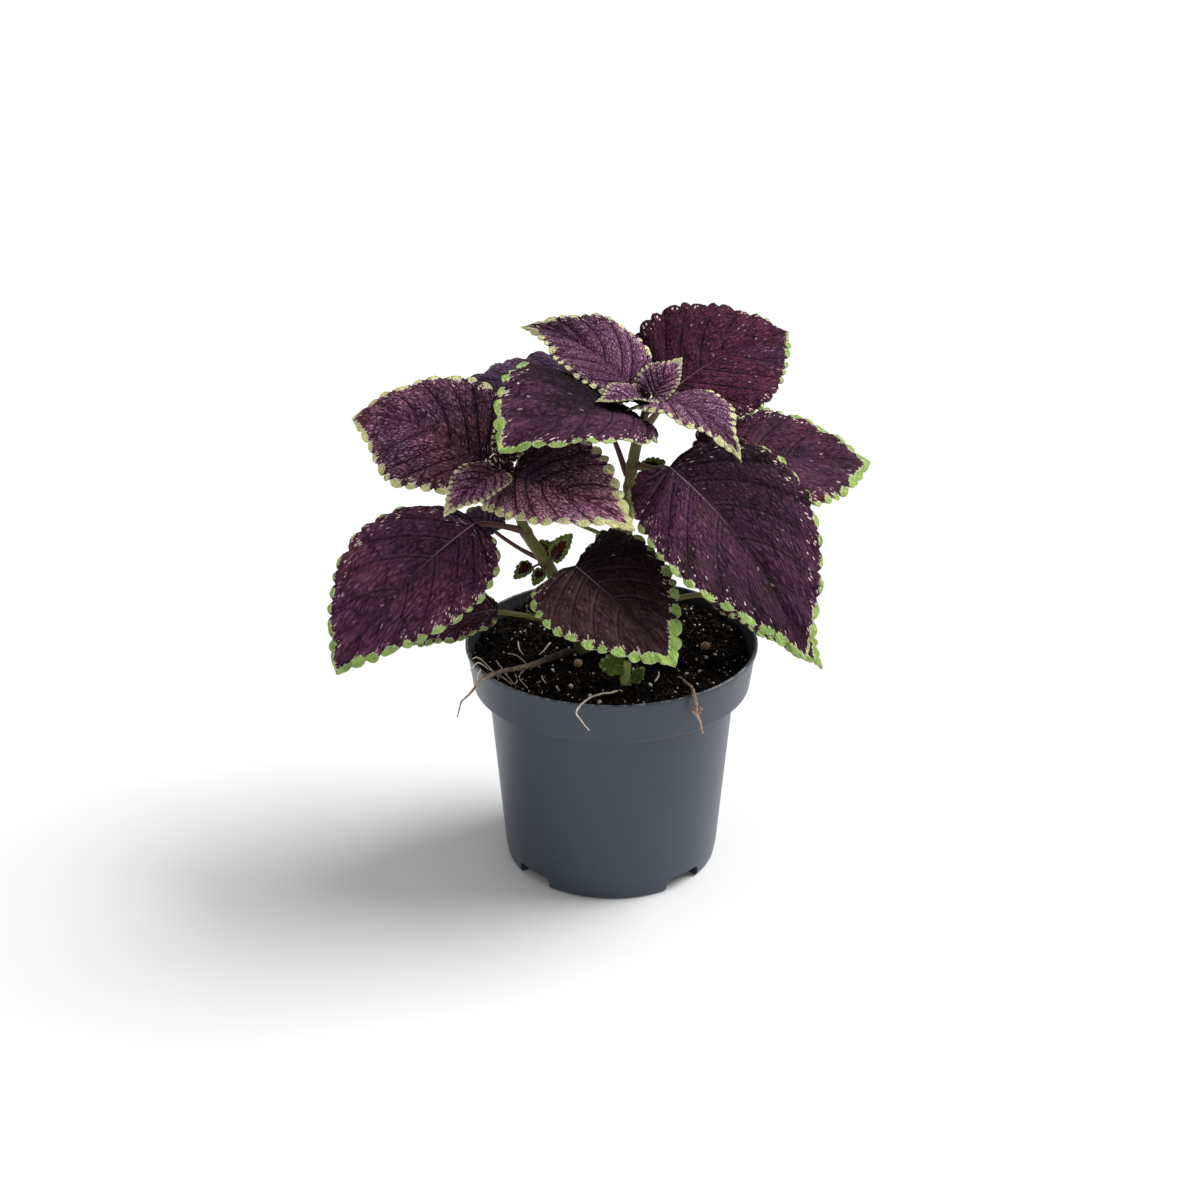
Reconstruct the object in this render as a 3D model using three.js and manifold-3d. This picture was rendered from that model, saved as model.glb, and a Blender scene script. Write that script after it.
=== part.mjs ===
// A potted coleus: two leafy shoots from one crown, in a 12 cm nursery pot.
// Millimetres, +Z up. The origin is on the pot's axis, on the surface it stands on.
import * as THREE from 'three';
import { mergeVertices } from 'three/addons/utils/BufferGeometryUtils.js';
import Module from 'manifold-3d';

const wasm = await Module();
wasm.setup();

// ---- Driving dimensions ----
const POT_HEIGHT = 98;
const RIM_RADIUS = 60;
const COLLAR_HEIGHT = 18.3;
const COLLAR_RADIUS = 57;
const WALL_TOP_RADIUS = 51;
const BASE_RADIUS = 44;
const BASE_CORNER = 3;
const BASE_CORNER_CUT = 0.9;
const LIP_FLARE = 0.2;
const LIP_HEIGHT = 1;
const WALL = 1.2;
const FLOOR = 1.8;
const POT_SIDES = 40;

const NOTCH_COUNT = 4;
const NOTCH_FIRST_ANGLE = 43;
const NOTCH_WIDTH = 18;
const NOTCH_HEIGHT = 6;
const NOTCH_CORNER = 3;
const NOTCH_DEPTH = 12;
const NOTCH_OVERSHOOT = 4;
const NOTCH_CURVE_STEPS = 3;

const SOIL_LEVEL = 90;
const SOIL_BUMP = 0.6;
const SOIL_WAVE_X = 0.31;
const SOIL_WAVE_Y = 0.27;
const SOIL_WAVE_SHIFT = 1;
const SOIL_RINGS = 5;
const SOIL_SIDES = 30;

const GAP = 0.3;
const BLADE_THICKNESS = 0.7;
const LARGE_BLADE_GRID = [10, 4];
const SMALL_BLADE_GRID = [6, 2];
const LARGE_LEAF = 30;

// A leaf's outline: how full it is at the base and how slowly it narrows at the tip.
const BASE_FULLNESS = 0.5;
const TIP_FULLNESS = 0.95;
const WIDEST = BASE_FULLNESS / (BASE_FULLNESS + TIP_FULLNESS);
const LOBE_END = 0.45;
const BLADE_START = 0.015;
const BLADE_END = 0.99;

// Side veins: the share of the rows that fan out from the base, and the slant of the others.
const FAN_SHARE = 0.42;
const FAN_SPREAD = 0.02;
const VEIN_SLANT = 1.35;

// A leaf stalk, in shares of its radius, and how far it runs under the blade.
const STALK_FOOT = 1.1;
const STALK_END = 0.5;
const STALK_ENTRY_DEPTH = 0.4;
const STALK_END_DEPTH = 0.6;
const STALK_REACH = 0.14;
const STALK_SIDES = 5;
const STALK_STEPS = 5;

const STEM_SIDES = 8;
const STEM_STEPS = 14;
const SPROUT_SIDES = 6;
const SPROUT_STEPS = 6;
const ROOT_SIDES = 6;
const ROOT_STEPS = 20;
const LENGTH_SAMPLES = 24;
const WELD = 1e-4;

const COLOURS = {
  pot: 0x454c54,
  soil: 0x1c1512,
  stem: 0x56592f,
  blade: 0x43202f,
  youngBlade: 0x5a3145,
  shadedBlade: 0x2c2733,
  sprout: 0x8fae55,
  root: 0x8a7358,
  fineRoot: 0xd9c9b2,
  bead: 0xa08b6c,
};

// ---- Small tools ----
const radians = THREE.MathUtils.degToRad;
const point = (list) => new THREE.Vector3(...list);

function solid(geometry) {
  const bare = new THREE.BufferGeometry();
  bare.setAttribute('position', geometry.getAttribute('position'));
  bare.setIndex(geometry.getIndex());
  const merged = mergeVertices(bare, WELD);
  return new wasm.Manifold(new wasm.Mesh({
    numProp: 3,
    vertProperties: new Float32Array(merged.getAttribute('position').array),
    triVerts: new Uint32Array(merged.getIndex().array),
  }));
}

function surface(manifold) {
  const mesh = manifold.getMesh();
  const geometry = new THREE.BufferGeometry();
  geometry.setAttribute('position', new THREE.BufferAttribute(mesh.vertProperties, 3));
  geometry.setIndex(new THREE.BufferAttribute(mesh.triVerts, 1));
  geometry.computeVertexNormals();
  return geometry;
}

// A round rod along a smooth curve, with a radius that changes evenly between the given ones.
// extra makes it that much thicker and longer at both ends, to cut a seat with clearance.
function rod(points, radii, sides, steps, extra = 0) {
  const curve = new THREE.CatmullRomCurve3(points.map(point));
  const frames = curve.computeFrenetFrames(steps);
  const geometry = new THREE.CylinderGeometry(1, 1, 1, sides, steps);
  const position = geometry.getAttribute('position');
  for (let i = 0; i < position.count; i += 1) {
    const step = Math.round((position.getY(i) + 0.5) * steps);
    const along = (step / steps) * (radii.length - 1);
    const lower = Math.min(Math.floor(along), radii.length - 2);
    const radius = THREE.MathUtils.lerp(radii[lower], radii[lower + 1], along - lower) + extra;
    const place = curve.getPoint(step / steps);
    const end = Number(step === steps) - Number(step === 0);
    place.addScaledVector(frames.tangents[step], end * extra);
    place.addScaledVector(frames.normals[step], position.getX(i) * radius);
    place.addScaledVector(frames.binormals[step], -position.getZ(i) * radius);
    position.setXYZ(i, place.x, place.y, place.z);
  }
  return solid(geometry);
}

// ---- Leaf shape ----
// The midrib runs from base to tip, arched away from the chord and swayed to one side.
function midrib(leaf, t) {
  const bulge = 4 * t * (1 - t) * (1 + leaf.skew * (2 * t - 1));
  return leaf.from.clone()
    .addScaledVector(leaf.chord, t)
    .addScaledVector(leaf.normal, bulge * leaf.arch)
    .addScaledVector(leaf.side, bulge * leaf.sway);
}

function midribDirection(leaf, t) {
  const step = 1e-3;
  return midrib(leaf, t + step).sub(midrib(leaf, t - step)).normalize();
}

function prepareLeaf(settings) {
  const defaults = { arch: 0, sway: 0, skew: 0, fold: 10, open: [0, 0], lobe: [0.05, 0.05], roll: 0 };
  const leaf = { ...defaults, ...settings };
  leaf.from = point(leaf.base);
  leaf.chord = point(leaf.tip).sub(leaf.from);
  const along = leaf.chord.clone().normalize();
  const up = new THREE.Vector3(0, 0, 1).addScaledVector(along, -along.z).normalize();
  const side = new THREE.Vector3().crossVectors(along, up);
  const roll = radians(leaf.roll);
  leaf.normal = up.clone().multiplyScalar(Math.cos(roll)).addScaledVector(side, Math.sin(roll));
  leaf.side = side.clone().multiplyScalar(Math.cos(roll)).addScaledVector(up, -Math.sin(roll));
  leaf.length = 0;
  for (let i = 0; i < LENGTH_SAMPLES; i += 1) {
    leaf.length += midrib(leaf, i / LENGTH_SAMPLES).distanceTo(midrib(leaf, (i + 1) / LENGTH_SAMPLES));
  }
  leaf.halfWidth = (leaf.width * leaf.length) / 2;
  return leaf;
}

// The blade's two halves rise from the midrib by the fold angle, which can open along the leaf.
function bladePoint(leaf, along, across, lift) {
  const t = THREE.MathUtils.clamp(along / leaf.length, 0, 1);
  const direction = midribDirection(leaf, t);
  const normal = leaf.normal.clone().addScaledVector(direction, -leaf.normal.dot(direction)).normalize();
  const side = new THREE.Vector3().crossVectors(direction, normal);
  const half = across < 0 ? 0 : 1;
  const fold = radians(leaf.fold + leaf.open[half] * (t - 0.5));
  return midrib(leaf, t)
    .addScaledVector(direction, along - t * leaf.length)
    .addScaledVector(side, across * Math.cos(fold))
    .addScaledVector(normal, Math.abs(across) * Math.sin(fold) + lift);
}

function outline(leaf, row, half) {
  const reach = 2 * row ** 2 - row ** 3;
  const base = (reach / WIDEST) ** BASE_FULLNESS;
  const tip = ((1 - reach) / (1 - WIDEST)) ** TIP_FULLNESS;
  const back = leaf.lobe[half] * Math.sin(Math.PI * Math.min(row / LOBE_END, 1));
  return { along: (reach - back) * leaf.length, across: leaf.halfWidth * base * tip };
}

// Where a row leaves the midrib on its way to the margin, as side veins do.
function rowStart(row) {
  const beyondFan = Math.max(0, (row - FAN_SHARE) / (1 - FAN_SHARE));
  return FAN_SPREAD * row + (1 - FAN_SPREAD) * beyondFan ** VEIN_SLANT;
}

function blade(leaf) {
  const [rows, columns] = leaf.length > LARGE_LEAF ? LARGE_BLADE_GRID : SMALL_BLADE_GRID;
  const geometry = new THREE.BoxGeometry(1, 1, 1, rows, columns, 1);
  const position = geometry.getAttribute('position');
  for (let i = 0; i < position.count; i += 1) {
    const row = THREE.MathUtils.lerp(BLADE_START, BLADE_END, position.getX(i) + 0.5);
    const out = -2 * position.getY(i);
    const edge = outline(leaf, row, out < 0 ? 0 : 1);
    const start = rowStart(row) * leaf.length;
    const along = THREE.MathUtils.lerp(start, edge.along, Math.abs(out));
    const place = bladePoint(leaf, along, out * edge.across, position.getZ(i) * BLADE_THICKNESS);
    position.setXYZ(i, place.x, place.y, place.z);
  }
  return solid(geometry);
}

// The stalk leaves the stem, bends once and runs under the start of the midrib.
function stalk(leaf) {
  const joint = point(leaf.node);
  const under = bladePoint(leaf, leaf.length * STALK_REACH, 0, -leaf.stalk * STALK_END_DEPTH);
  const entry = bladePoint(leaf, 0, 0, -leaf.stalk * STALK_ENTRY_DEPTH);
  const bend = joint.clone().lerp(entry, 0.5);
  bend.z += leaf.rise;
  const route = [joint, bend, entry, under].map((place) => place.toArray());
  const radii = [STALK_FOOT, 1, STALK_END].map((share) => share * leaf.stalk);
  return rod(route, radii, STALK_SIDES, STALK_STEPS);
}

// ---- Stems ----
const RIGHT_STEM = [
  [0, 8, 78], [1, 8, 102.5], [4, 7, 130], [6.5, 6, 152.5], [9.5, 5, 170], [13, 4, 189.5],
  [14, 3, 198.5],
];
const RIGHT_STEM_RADII = [3, 2.9, 2.8, 2.7, 2.6, 2.2, 1.2];
const LEFT_STEM = [
  [-9, 3, 78], [-14, 1.5, 100], [-19, 0, 115.5], [-27, -3, 134.5], [-33, -5, 148], [-39.5, -7, 168],
  [-42, -8, 175.5],
];
const LEFT_STEM_RADII = [2.7, 2.5, 2.4, 2.2, 1.8, 1.3, 0.9];

const stems = {
  stem_right: (extra) => rod(RIGHT_STEM, RIGHT_STEM_RADII, STEM_SIDES, STEM_STEPS, extra),
  stem_left: (extra) => rod(LEFT_STEM, LEFT_STEM_RADII, STEM_SIDES, STEM_STEPS, extra),
};

// ---- Leaves ----
// node: where the stalk meets the stem's axis. width: a share of the blade's length.
// fold, roll and open are in degrees; open and lobe are for the left and the right half.
const leaves = {
  // Right-hand shoot, from the top down.
  leaf_apex_right: {
    node: [14, 3, 198.2], base: [16, 4.5, 201.5], tip: [27.5, 12, 215], width: 0.95,
    roll: 25, fold: 20, stalk: 0.6, rise: 0, colour: 'youngBlade',
  },
  leaf_apex_left: {
    node: [13.8, 3, 197.8], base: [12, 0, 201], tip: [-6.5, -19, 207.5], width: 0.72,
    roll: -11, fold: 23, arch: 1, stalk: 0.6, rise: 0, colour: 'youngBlade',
  },
  leaf_top_left: {
    node: [13.5, 3, 195.5], base: [8, 8, 203], tip: [-34.5, 24, 223.5], width: 0.74,
    roll: -24, fold: 13, arch: 4, sway: 3, open: [-10, -10], stalk: 1, rise: 0, colour: 'youngBlade',
  },
  leaf_top_front: {
    node: [13.5, 3, 195], base: [18, 0, 199.5], tip: [49.5, -30, 187], width: 0.66,
    roll: 0, fold: 8, arch: 8, lobe: [0.04, 0.02], stalk: 0.9, rise: 0, colour: 'youngBlade',
  },
  leaf_back_right: {
    node: [13, 4, 188.5], base: [22, 12, 200], tip: [73, 56, 211.5], width: 0.82,
    roll: 34, fold: 6, arch: 4, sway: -2, lobe: [0.08, 0.05], stalk: 1.4, rise: -1, colour: 'blade',
  },
  leaf_front_left: {
    node: [13, 4, 188], base: [8, -4, 197.5], tip: [-42, -50, 198.5], width: 0.84,
    roll: -14, fold: 5, arch: 10, open: [16, 44], lobe: [0.02, 0.02], stalk: 1.4, rise: 0, colour: 'blade',
  },
  leaf_back_left: {
    node: [10, 5, 172], base: [-5, 26, 184.5], tip: [-63.5, 64, 186.5], width: 0.8,
    roll: -18, fold: 4, arch: 7, stalk: 1.3, rise: 0, colour: 'shadedBlade',
  },
  leaf_right_large: {
    node: [10, 5, 172], base: [26, -10, 175.5], tip: [74.5, -58, 116.5], width: 0.76,
    roll: 19, fold: 8, arch: 5, sway: -3, open: [0, 30], lobe: [0.07, 0.12],
    stalk: 1.6, rise: 2, colour: 'blade',
  },
  leaf_node_small: {
    node: [10.5, 4.5, 174], base: [14, 6, 174.5], tip: [20.5, 6, 177], width: 0.7,
    roll: 30, stalk: 0.5, rise: 0, colour: 'shadedBlade',
  },
  leaf_right_back: {
    node: [8.5, 5.4, 163], base: [40.5, 12, 172], tip: [107.5, 40, 160], width: 0.82,
    roll: 28, fold: 5, arch: 2, open: [0, -30], lobe: [0.1, 0.1], stalk: 1.5, rise: 1, colour: 'blade',
  },
  leaf_inner_hidden: {
    node: [5.5, 6.5, 143], base: [-14, 4, 153], tip: [-38, 26, 162], width: 0.75,
    arch: 3, stalk: 0.9, rise: -5, colour: 'shadedBlade',
  },
  leaf_right_base: {
    node: [1, 8, 101], base: [40, 6, 116.5], tip: [85, -20, 94.5], width: 0.76,
    fold: 8, arch: 3, stalk: 1.3, rise: 3, colour: 'blade',
  },
  leaf_left_base: {
    node: [1, 8, 100], base: [-46.5, -2, 112], tip: [-83.5, -4, 97], width: 0.8,
    roll: -12, fold: 5, arch: 3, stalk: 1.2, rise: -1, colour: 'blade',
  },
  bud_leaf_right_back: {
    node: [13.2, 3.2, 198], base: [11.4, 4.2, 202.3], tip: [10.6, 4.7, 207], width: 0.5,
    fold: 25, stalk: 0.4, rise: 0, colour: 'youngBlade',
  },
  bud_leaf_right_front: {
    node: [14.4, 2.2, 198.2], base: [14.9, 0.4, 202], tip: [15.8, -1.8, 206], width: 0.55,
    fold: 25, stalk: 0.4, rise: 0, colour: 'youngBlade',
  },
  // Left-hand shoot, from the top down.
  bud_leaf_left_back: {
    node: [-42.5, -7.7, 175], base: [-44, -7, 178], tip: [-47, -5.6, 182], width: 0.6,
    fold: 25, stalk: 0.4, rise: 0, colour: 'youngBlade',
  },
  bud_leaf_left_front: {
    node: [-41.5, -8.4, 175], base: [-40.6, -9.5, 178], tip: [-38.1, -11.3, 182], width: 0.6,
    fold: 25, stalk: 0.4, rise: 0, colour: 'youngBlade',
  },
  leaf_left_small: {
    node: [-41.8, -8, 174.5], base: [-44, -14, 177], tip: [-65.5, -40, 168], width: 0.62,
    roll: 2, fold: 20, arch: 2, stalk: 0.6, rise: 0, colour: 'youngBlade',
  },
  leaf_left_back: {
    node: [-41.8, -7.9, 174.5], base: [-41, -3, 177], tip: [-38, 14, 195.5], width: 0.6,
    fold: 30, arch: 1, stalk: 0.6, rise: 0, colour: 'youngBlade',
  },
  leaf_left_upper: {
    node: [-40.5, -7.4, 170.5], base: [-50, 4, 174.5], tip: [-104.5, 24, 185], width: 0.9,
    roll: -42, fold: -4, arch: 5, sway: 4, skew: 0.4, open: [-35, -35], stalk: 1.1, rise: 0, colour: 'blade',
  },
  leaf_left_inner: {
    node: [-40.5, -7.4, 170.5], base: [-39.5, -10, 173.5], tip: [9, -46, 166], width: 0.73,
    roll: 26, fold: 10, arch: 4, sway: -1, open: [20, 20], lobe: [0.02, 0.13],
    stalk: 1, rise: 0, colour: 'youngBlade',
  },
  leaf_left_lower: {
    node: [-33, -5, 147.5], base: [-53.5, -16, 156], tip: [-106, -50, 106.5], width: 0.75,
    roll: -26, fold: 3, arch: 5, sway: 2, lobe: [0.04, 0], stalk: 1.5, rise: 1, colour: 'blade',
  },
  leaf_left_shaded: {
    node: [-27, -3, 134], base: [-47, 6, 143.5], tip: [-64, 22, 152], width: 0.8,
    roll: -20, arch: 1, stalk: 0.9, rise: -1, colour: 'shadedBlade',
  },
  leaf_front_centre: {
    node: [-21.5, -1, 122], base: [-14.5, -20, 139.5], tip: [24.5, -70, 120.5], width: 0.87,
    roll: 18, fold: 3, arch: 3, lobe: [0.2, 0.04], stalk: 1.4, rise: 1, colour: 'blade',
  },
  leaf_shaded_base: {
    node: [-18, 0.3, 111.5], base: [-25, 5, 114], tip: [-33.5, 6, 110], width: 0.8,
    fold: 20, stalk: 0.5, rise: 1, colour: 'shadedBlade',
  },
  // The little side shoots at the middle node of the left-hand stem.
  shoot_leaf_front: {
    node: [-27, -3, 134], base: [-24.5, -7, 137.5], tip: [-15.5, -10, 149], width: 0.72,
    roll: 30, fold: 15, stalk: 0.5, rise: 0, colour: 'youngBlade',
  },
  shoot_leaf_back: {
    node: [-27.5, -3.2, 135.5], base: [-26, 0.5, 138], tip: [-22, 5, 143], width: 0.75,
    fold: 15, stalk: 0.5, rise: 0, colour: 'shadedBlade',
  },
  shoot_leaf_left: {
    node: [-26.5, -2.8, 133], base: [-32, -5.5, 133], tip: [-39.5, -8, 128.5], width: 0.75,
    fold: 10, stalk: 0.5, rise: 0.5, colour: 'shadedBlade',
  },
  shoot_leaf_low: {
    node: [-26, -2.6, 132], base: [-27.5, -7.5, 132], tip: [-31.5, -10.5, 126.5], width: 0.7,
    fold: 10, stalk: 0.5, rise: 0.5, colour: 'youngBlade',
  },
};

// ---- Pale shoot at the foot of the plant ----
const SPROUT_STEM = [[6.6, -27, 85], [5.5, -26.5, 93], [6.5, -25.5, 100]];
const SPROUT_RADII = [1.2, 1.1, 0.8];
const SPROUT_LEAVES = {
  sprout_leaf_left: {
    node: [5.6, -26.2, 96], base: [3.5, -26.5, 99], tip: [-4, -23, 96.5], width: 0.85, roll: -20,
  },
  sprout_leaf_right: {
    node: [6.5, -25.5, 100], base: [8.5, -25.5, 101.5], tip: [15, -22, 103], width: 0.8, roll: 10,
  },
  sprout_leaf_low: {
    node: [5.8, -27, 91.5], base: [9, -28, 92.5], tip: [13, -27, 98.5], width: 0.5, roll: 40,
  },
};

// ---- Roots that climb out over the rim ----
const roots = {
  root_left: {
    route: [
      [-11.5, 2, 89], [-17.5, 0.5, 91.2], [-23.5, -6, 92.5], [-34, -19, 94.5], [-43, -31, 98.2],
      [-48, -38, 99.9], [-51, -39.5, 98.6], [-55, -37.5, 92], [-59.5, -35.5, 86.5], [-61.5, -35, 80],
    ],
    radii: [1.5, 1.4, 1.2, 1, 0.8, 0.5, 0.35],
    colour: 'root',
  },
  root_front: {
    route: [
      [6, -30.5, 88.5], [3, -33, 91], [-1.5, -38, 92.6], [-5.5, -47, 96.4], [-9, -55.5, 99.1],
      [-11.7, -60.3, 99], [-13.2, -61.2, 96.5], [-12, -61.4, 93.5], [-8.5, -61.8, 88.5],
    ],
    radii: [0.55, 0.5, 0.45, 0.4, 0.35, 0.3],
    colour: 'fineRoot',
  },
  root_right: {
    route: [
      [24, -18, 88.5], [27.5, -22, 91.5], [30, -31, 93.6], [31.5, -43, 97.4], [32.3, -51, 99.6],
      [33, -53.4, 97.2], [33.5, -53.2, 92.5], [34.8, -52.6, 87.5], [36, -52, 82],
    ],
    radii: [0.8, 0.8, 0.7, 0.7, 0.6, 0.45, 0.35],
    colour: 'root',
  },
};

// ---- Slow-release feed beads on the soil ----
const BEAD_RADIUS = 1.8;
const BEAD_SINK = 0.5;
const BEAD_SIDES = 8;
const BEAD_RINGS = 6;
const BEADS = [[-13.7, -9.5], [41.5, 34], [48.5, 22], [39, 7]];

// ---- Pieces ----
function pot() {
  const ledge = POT_HEIGHT - COLLAR_HEIGHT;
  const profile = [
    [0, 0], [BASE_RADIUS - BASE_CORNER, 0], [BASE_RADIUS - BASE_CORNER_CUT, BASE_CORNER_CUT],
    [BASE_RADIUS, BASE_CORNER], [WALL_TOP_RADIUS, ledge], [COLLAR_RADIUS, ledge],
    [RIM_RADIUS - LIP_FLARE, POT_HEIGHT - LIP_HEIGHT], [RIM_RADIUS, POT_HEIGHT],
    [RIM_RADIUS - WALL, POT_HEIGHT],
    [COLLAR_RADIUS - WALL, ledge + WALL], [WALL_TOP_RADIUS - WALL, ledge + WALL],
    [BASE_RADIUS - WALL, BASE_CORNER], [BASE_RADIUS - BASE_CORNER, FLOOR], [0, FLOOR],
  ];
  const turned = new THREE.LatheGeometry(profile.map(([r, z]) => new THREE.Vector2(r, z)), POT_SIDES);
  turned.rotateX(Math.PI / 2);
  let body = solid(turned);
  const arch = new THREE.Shape();
  const half = NOTCH_WIDTH / 2;
  arch.moveTo(-half, -NOTCH_OVERSHOOT);
  arch.lineTo(half, -NOTCH_OVERSHOOT);
  arch.lineTo(half, NOTCH_HEIGHT - NOTCH_CORNER);
  arch.absarc(half - NOTCH_CORNER, NOTCH_HEIGHT - NOTCH_CORNER, NOTCH_CORNER, 0, Math.PI / 2);
  arch.absarc(NOTCH_CORNER - half, NOTCH_HEIGHT - NOTCH_CORNER, NOTCH_CORNER, Math.PI / 2, Math.PI);
  const settings = { depth: NOTCH_DEPTH, bevelEnabled: false, curveSegments: NOTCH_CURVE_STEPS };
  for (let i = 0; i < NOTCH_COUNT; i += 1) {
    const cutter = new THREE.ExtrudeGeometry(arch, settings);
    cutter.rotateX(Math.PI / 2);
    cutter.translate(0, NOTCH_DEPTH - BASE_RADIUS - NOTCH_OVERSHOOT, 0);
    cutter.rotateZ(radians(NOTCH_FIRST_ANGLE + (360 / NOTCH_COUNT) * i));
    body = body.subtract(solid(cutter));
  }
  return body;
}

function soil(cutters) {
  const ledge = POT_HEIGHT - COLLAR_HEIGHT + WALL;
  const collarInside = (z) => THREE.MathUtils.mapLinear(
    z, ledge, POT_HEIGHT, COLLAR_RADIUS - WALL, RIM_RADIUS - WALL,
  );
  const wallInside = THREE.MathUtils.mapLinear(
    ledge, BASE_CORNER, POT_HEIGHT - COLLAR_HEIGHT, BASE_RADIUS - WALL, WALL_TOP_RADIUS - WALL,
  );
  const topRadius = collarInside(SOIL_LEVEL) - 2 * GAP;
  const profile = [
    [0, FLOOR + GAP], [BASE_RADIUS - BASE_CORNER - GAP, FLOOR + GAP],
    [BASE_RADIUS - WALL - 2 * GAP, BASE_CORNER + GAP], [wallInside - 2 * GAP, ledge + GAP],
    [collarInside(ledge) - 2 * GAP, ledge + GAP],
  ];
  for (let ring = SOIL_RINGS; ring > 0; ring -= 1) {
    profile.push([(topRadius * ring) / SOIL_RINGS, SOIL_LEVEL]);
  }
  profile.push([0, SOIL_LEVEL]);
  const turned = new THREE.LatheGeometry(profile.map(([r, z]) => new THREE.Vector2(r, z)), SOIL_SIDES);
  turned.rotateX(Math.PI / 2);
  const position = turned.getAttribute('position');
  for (let i = 0; i < position.count; i += 1) {
    if (position.getZ(i) > SOIL_LEVEL - 1) {
      const acrossWave = Math.sin(position.getX(i) * SOIL_WAVE_X);
      const wave = acrossWave + Math.cos(position.getY(i) * SOIL_WAVE_Y + SOIL_WAVE_SHIFT);
      position.setZ(i, SOIL_LEVEL + (SOIL_BUMP * wave) / 2);
    }
  }
  return cutters.reduce((body, cutter) => body.subtract(cutter), solid(turned));
}

// ---- The assembly ----
const plant = new THREE.Group();

function add(name, manifold, colour, roughness = 0.6) {
  const material = new THREE.MeshStandardMaterial({ color: COLOURS[colour], roughness, metalness: 0 });
  const mesh = new THREE.Mesh(surface(manifold), material);
  mesh.name = name;
  plant.add(mesh);
}

const grownStems = Object.values(stems).map((make) => make(GAP));
const inSoil = [...grownStems];
Object.entries(stems).forEach(([name, make]) => add(name, make(0), 'stem'));

Object.entries(leaves).forEach(([name, settings]) => {
  const leaf = prepareLeaf(settings);
  const whole = blade(leaf).add(stalk(leaf));
  add(name, grownStems.reduce((body, stem) => body.subtract(stem), whole), leaf.colour, 0.5);
});

const sprout = (extra) => rod(SPROUT_STEM, SPROUT_RADII, SPROUT_SIDES, SPROUT_STEPS, extra);
const grownSprout = sprout(GAP);
add('sprout_stem', sprout(0), 'sprout');
inSoil.push(grownSprout);
Object.entries(SPROUT_LEAVES).forEach(([name, settings]) => {
  const leaf = prepareLeaf({ fold: 15, stalk: 0.5, rise: 0, ...settings });
  add(name, blade(leaf).add(stalk(leaf)).subtract(grownSprout), 'sprout');
});

Object.entries(roots).forEach(([name, root]) => {
  const whole = rod(root.route, root.radii, ROOT_SIDES, ROOT_STEPS);
  add(name, grownStems.reduce((body, stem) => body.subtract(stem), whole), root.colour);
  inSoil.push(rod(root.route, root.radii, ROOT_SIDES, ROOT_STEPS, GAP));
});

function bead(x, y, radius) {
  const ball = new THREE.SphereGeometry(radius, BEAD_SIDES, BEAD_RINGS);
  return solid(ball.translate(x, y, SOIL_LEVEL + BEAD_RADIUS - BEAD_SINK));
}
BEADS.forEach(([x, y], index) => {
  add(`feed_bead_${index + 1}`, bead(x, y, BEAD_RADIUS), 'bead');
  inSoil.push(bead(x, y, BEAD_RADIUS + GAP));
});

add('soil', soil(inSoil), 'soil', 0.95);
add('pot', pot(), 'pot', 0.45);

export default plant;
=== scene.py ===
"""A potted coleus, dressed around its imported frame. Metres, +Z up, the pot stands on z = 0."""
import math

import bmesh
import bpy
import numpy as np
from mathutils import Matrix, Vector


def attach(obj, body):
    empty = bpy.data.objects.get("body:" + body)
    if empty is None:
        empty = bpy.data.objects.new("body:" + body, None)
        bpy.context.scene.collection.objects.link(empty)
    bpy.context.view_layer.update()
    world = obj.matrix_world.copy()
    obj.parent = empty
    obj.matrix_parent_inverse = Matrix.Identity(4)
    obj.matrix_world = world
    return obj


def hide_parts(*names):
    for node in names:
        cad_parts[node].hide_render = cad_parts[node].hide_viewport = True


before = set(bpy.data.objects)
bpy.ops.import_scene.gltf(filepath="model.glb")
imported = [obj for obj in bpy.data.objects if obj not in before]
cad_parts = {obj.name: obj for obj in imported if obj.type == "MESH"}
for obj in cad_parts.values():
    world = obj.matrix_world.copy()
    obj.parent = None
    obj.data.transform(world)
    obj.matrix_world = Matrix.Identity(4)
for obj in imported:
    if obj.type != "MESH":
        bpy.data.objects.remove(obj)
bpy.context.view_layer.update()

MM = 0.001

# ---- Sizes, in millimetres ----
POT_HEIGHT = 98
RIM_RADIUS = 60
COLLAR_HEIGHT = 18.3
COLLAR_RADIUS = 57
WALL_TOP_RADIUS = 51
BASE_RADIUS = 44
BASE_CORNER = 3
WALL = 1.2
LIP = 1.1
FLOOR_THICKNESS = 1.8
NOTCH_COUNT = 4
NOTCH_FIRST_ANGLE = 43
NOTCH_WIDTH = 18
NOTCH_HEIGHT = 6
NOTCH_CORNER = 3
SOIL_LEVEL = 90
BLADE_THICKNESS = 0.5

# A leaf's outline: how full it is at the base, how slowly it narrows at the tip, and where its lobes end.
BASE_FULLNESS = 0.5
TIP_FULLNESS = 0.95
WIDEST = BASE_FULLNESS / (BASE_FULLNESS + TIP_FULLNESS)
LOBE_END = 0.45

# The side veins: where they lie between the base (0) and the tip (1), and how they leave the midrib.
VEIN_ROWS = (0.0, 0.17, 0.33, 0.47, 0.59, 0.7, 0.8, 0.89, 0.96)
FAN_SHARE = 0.36
FAN_SPREAD = 0.02
VEIN_SLANT = 2.2
FAN_ANGLE = 104
VEIN_ANGLE = 54
VEIN_ARCH = 0.62

# Teeth: their depth as a share of their spacing, where their middle line lies between notch and crown, and
# how far out from a notch's foot the green starts, in millimetres.
TOOTH_DEPTH = 0.4
TOOTH_MIDDLE = 0.62
NOTCH_BARE = 3.0

# The blade's grid. A leaf longer than LARGE_LEAF millimetres gets the finer one.
FIRST_ROW = 0.006
LAST_ROW = 0.998
LARGE_LEAF = 30
LARGE_COLUMNS, SMALL_COLUMNS = 38, 14
LARGE_TOOTH_ROWS, SMALL_TOOTH_ROWS = 9, 7

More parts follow.
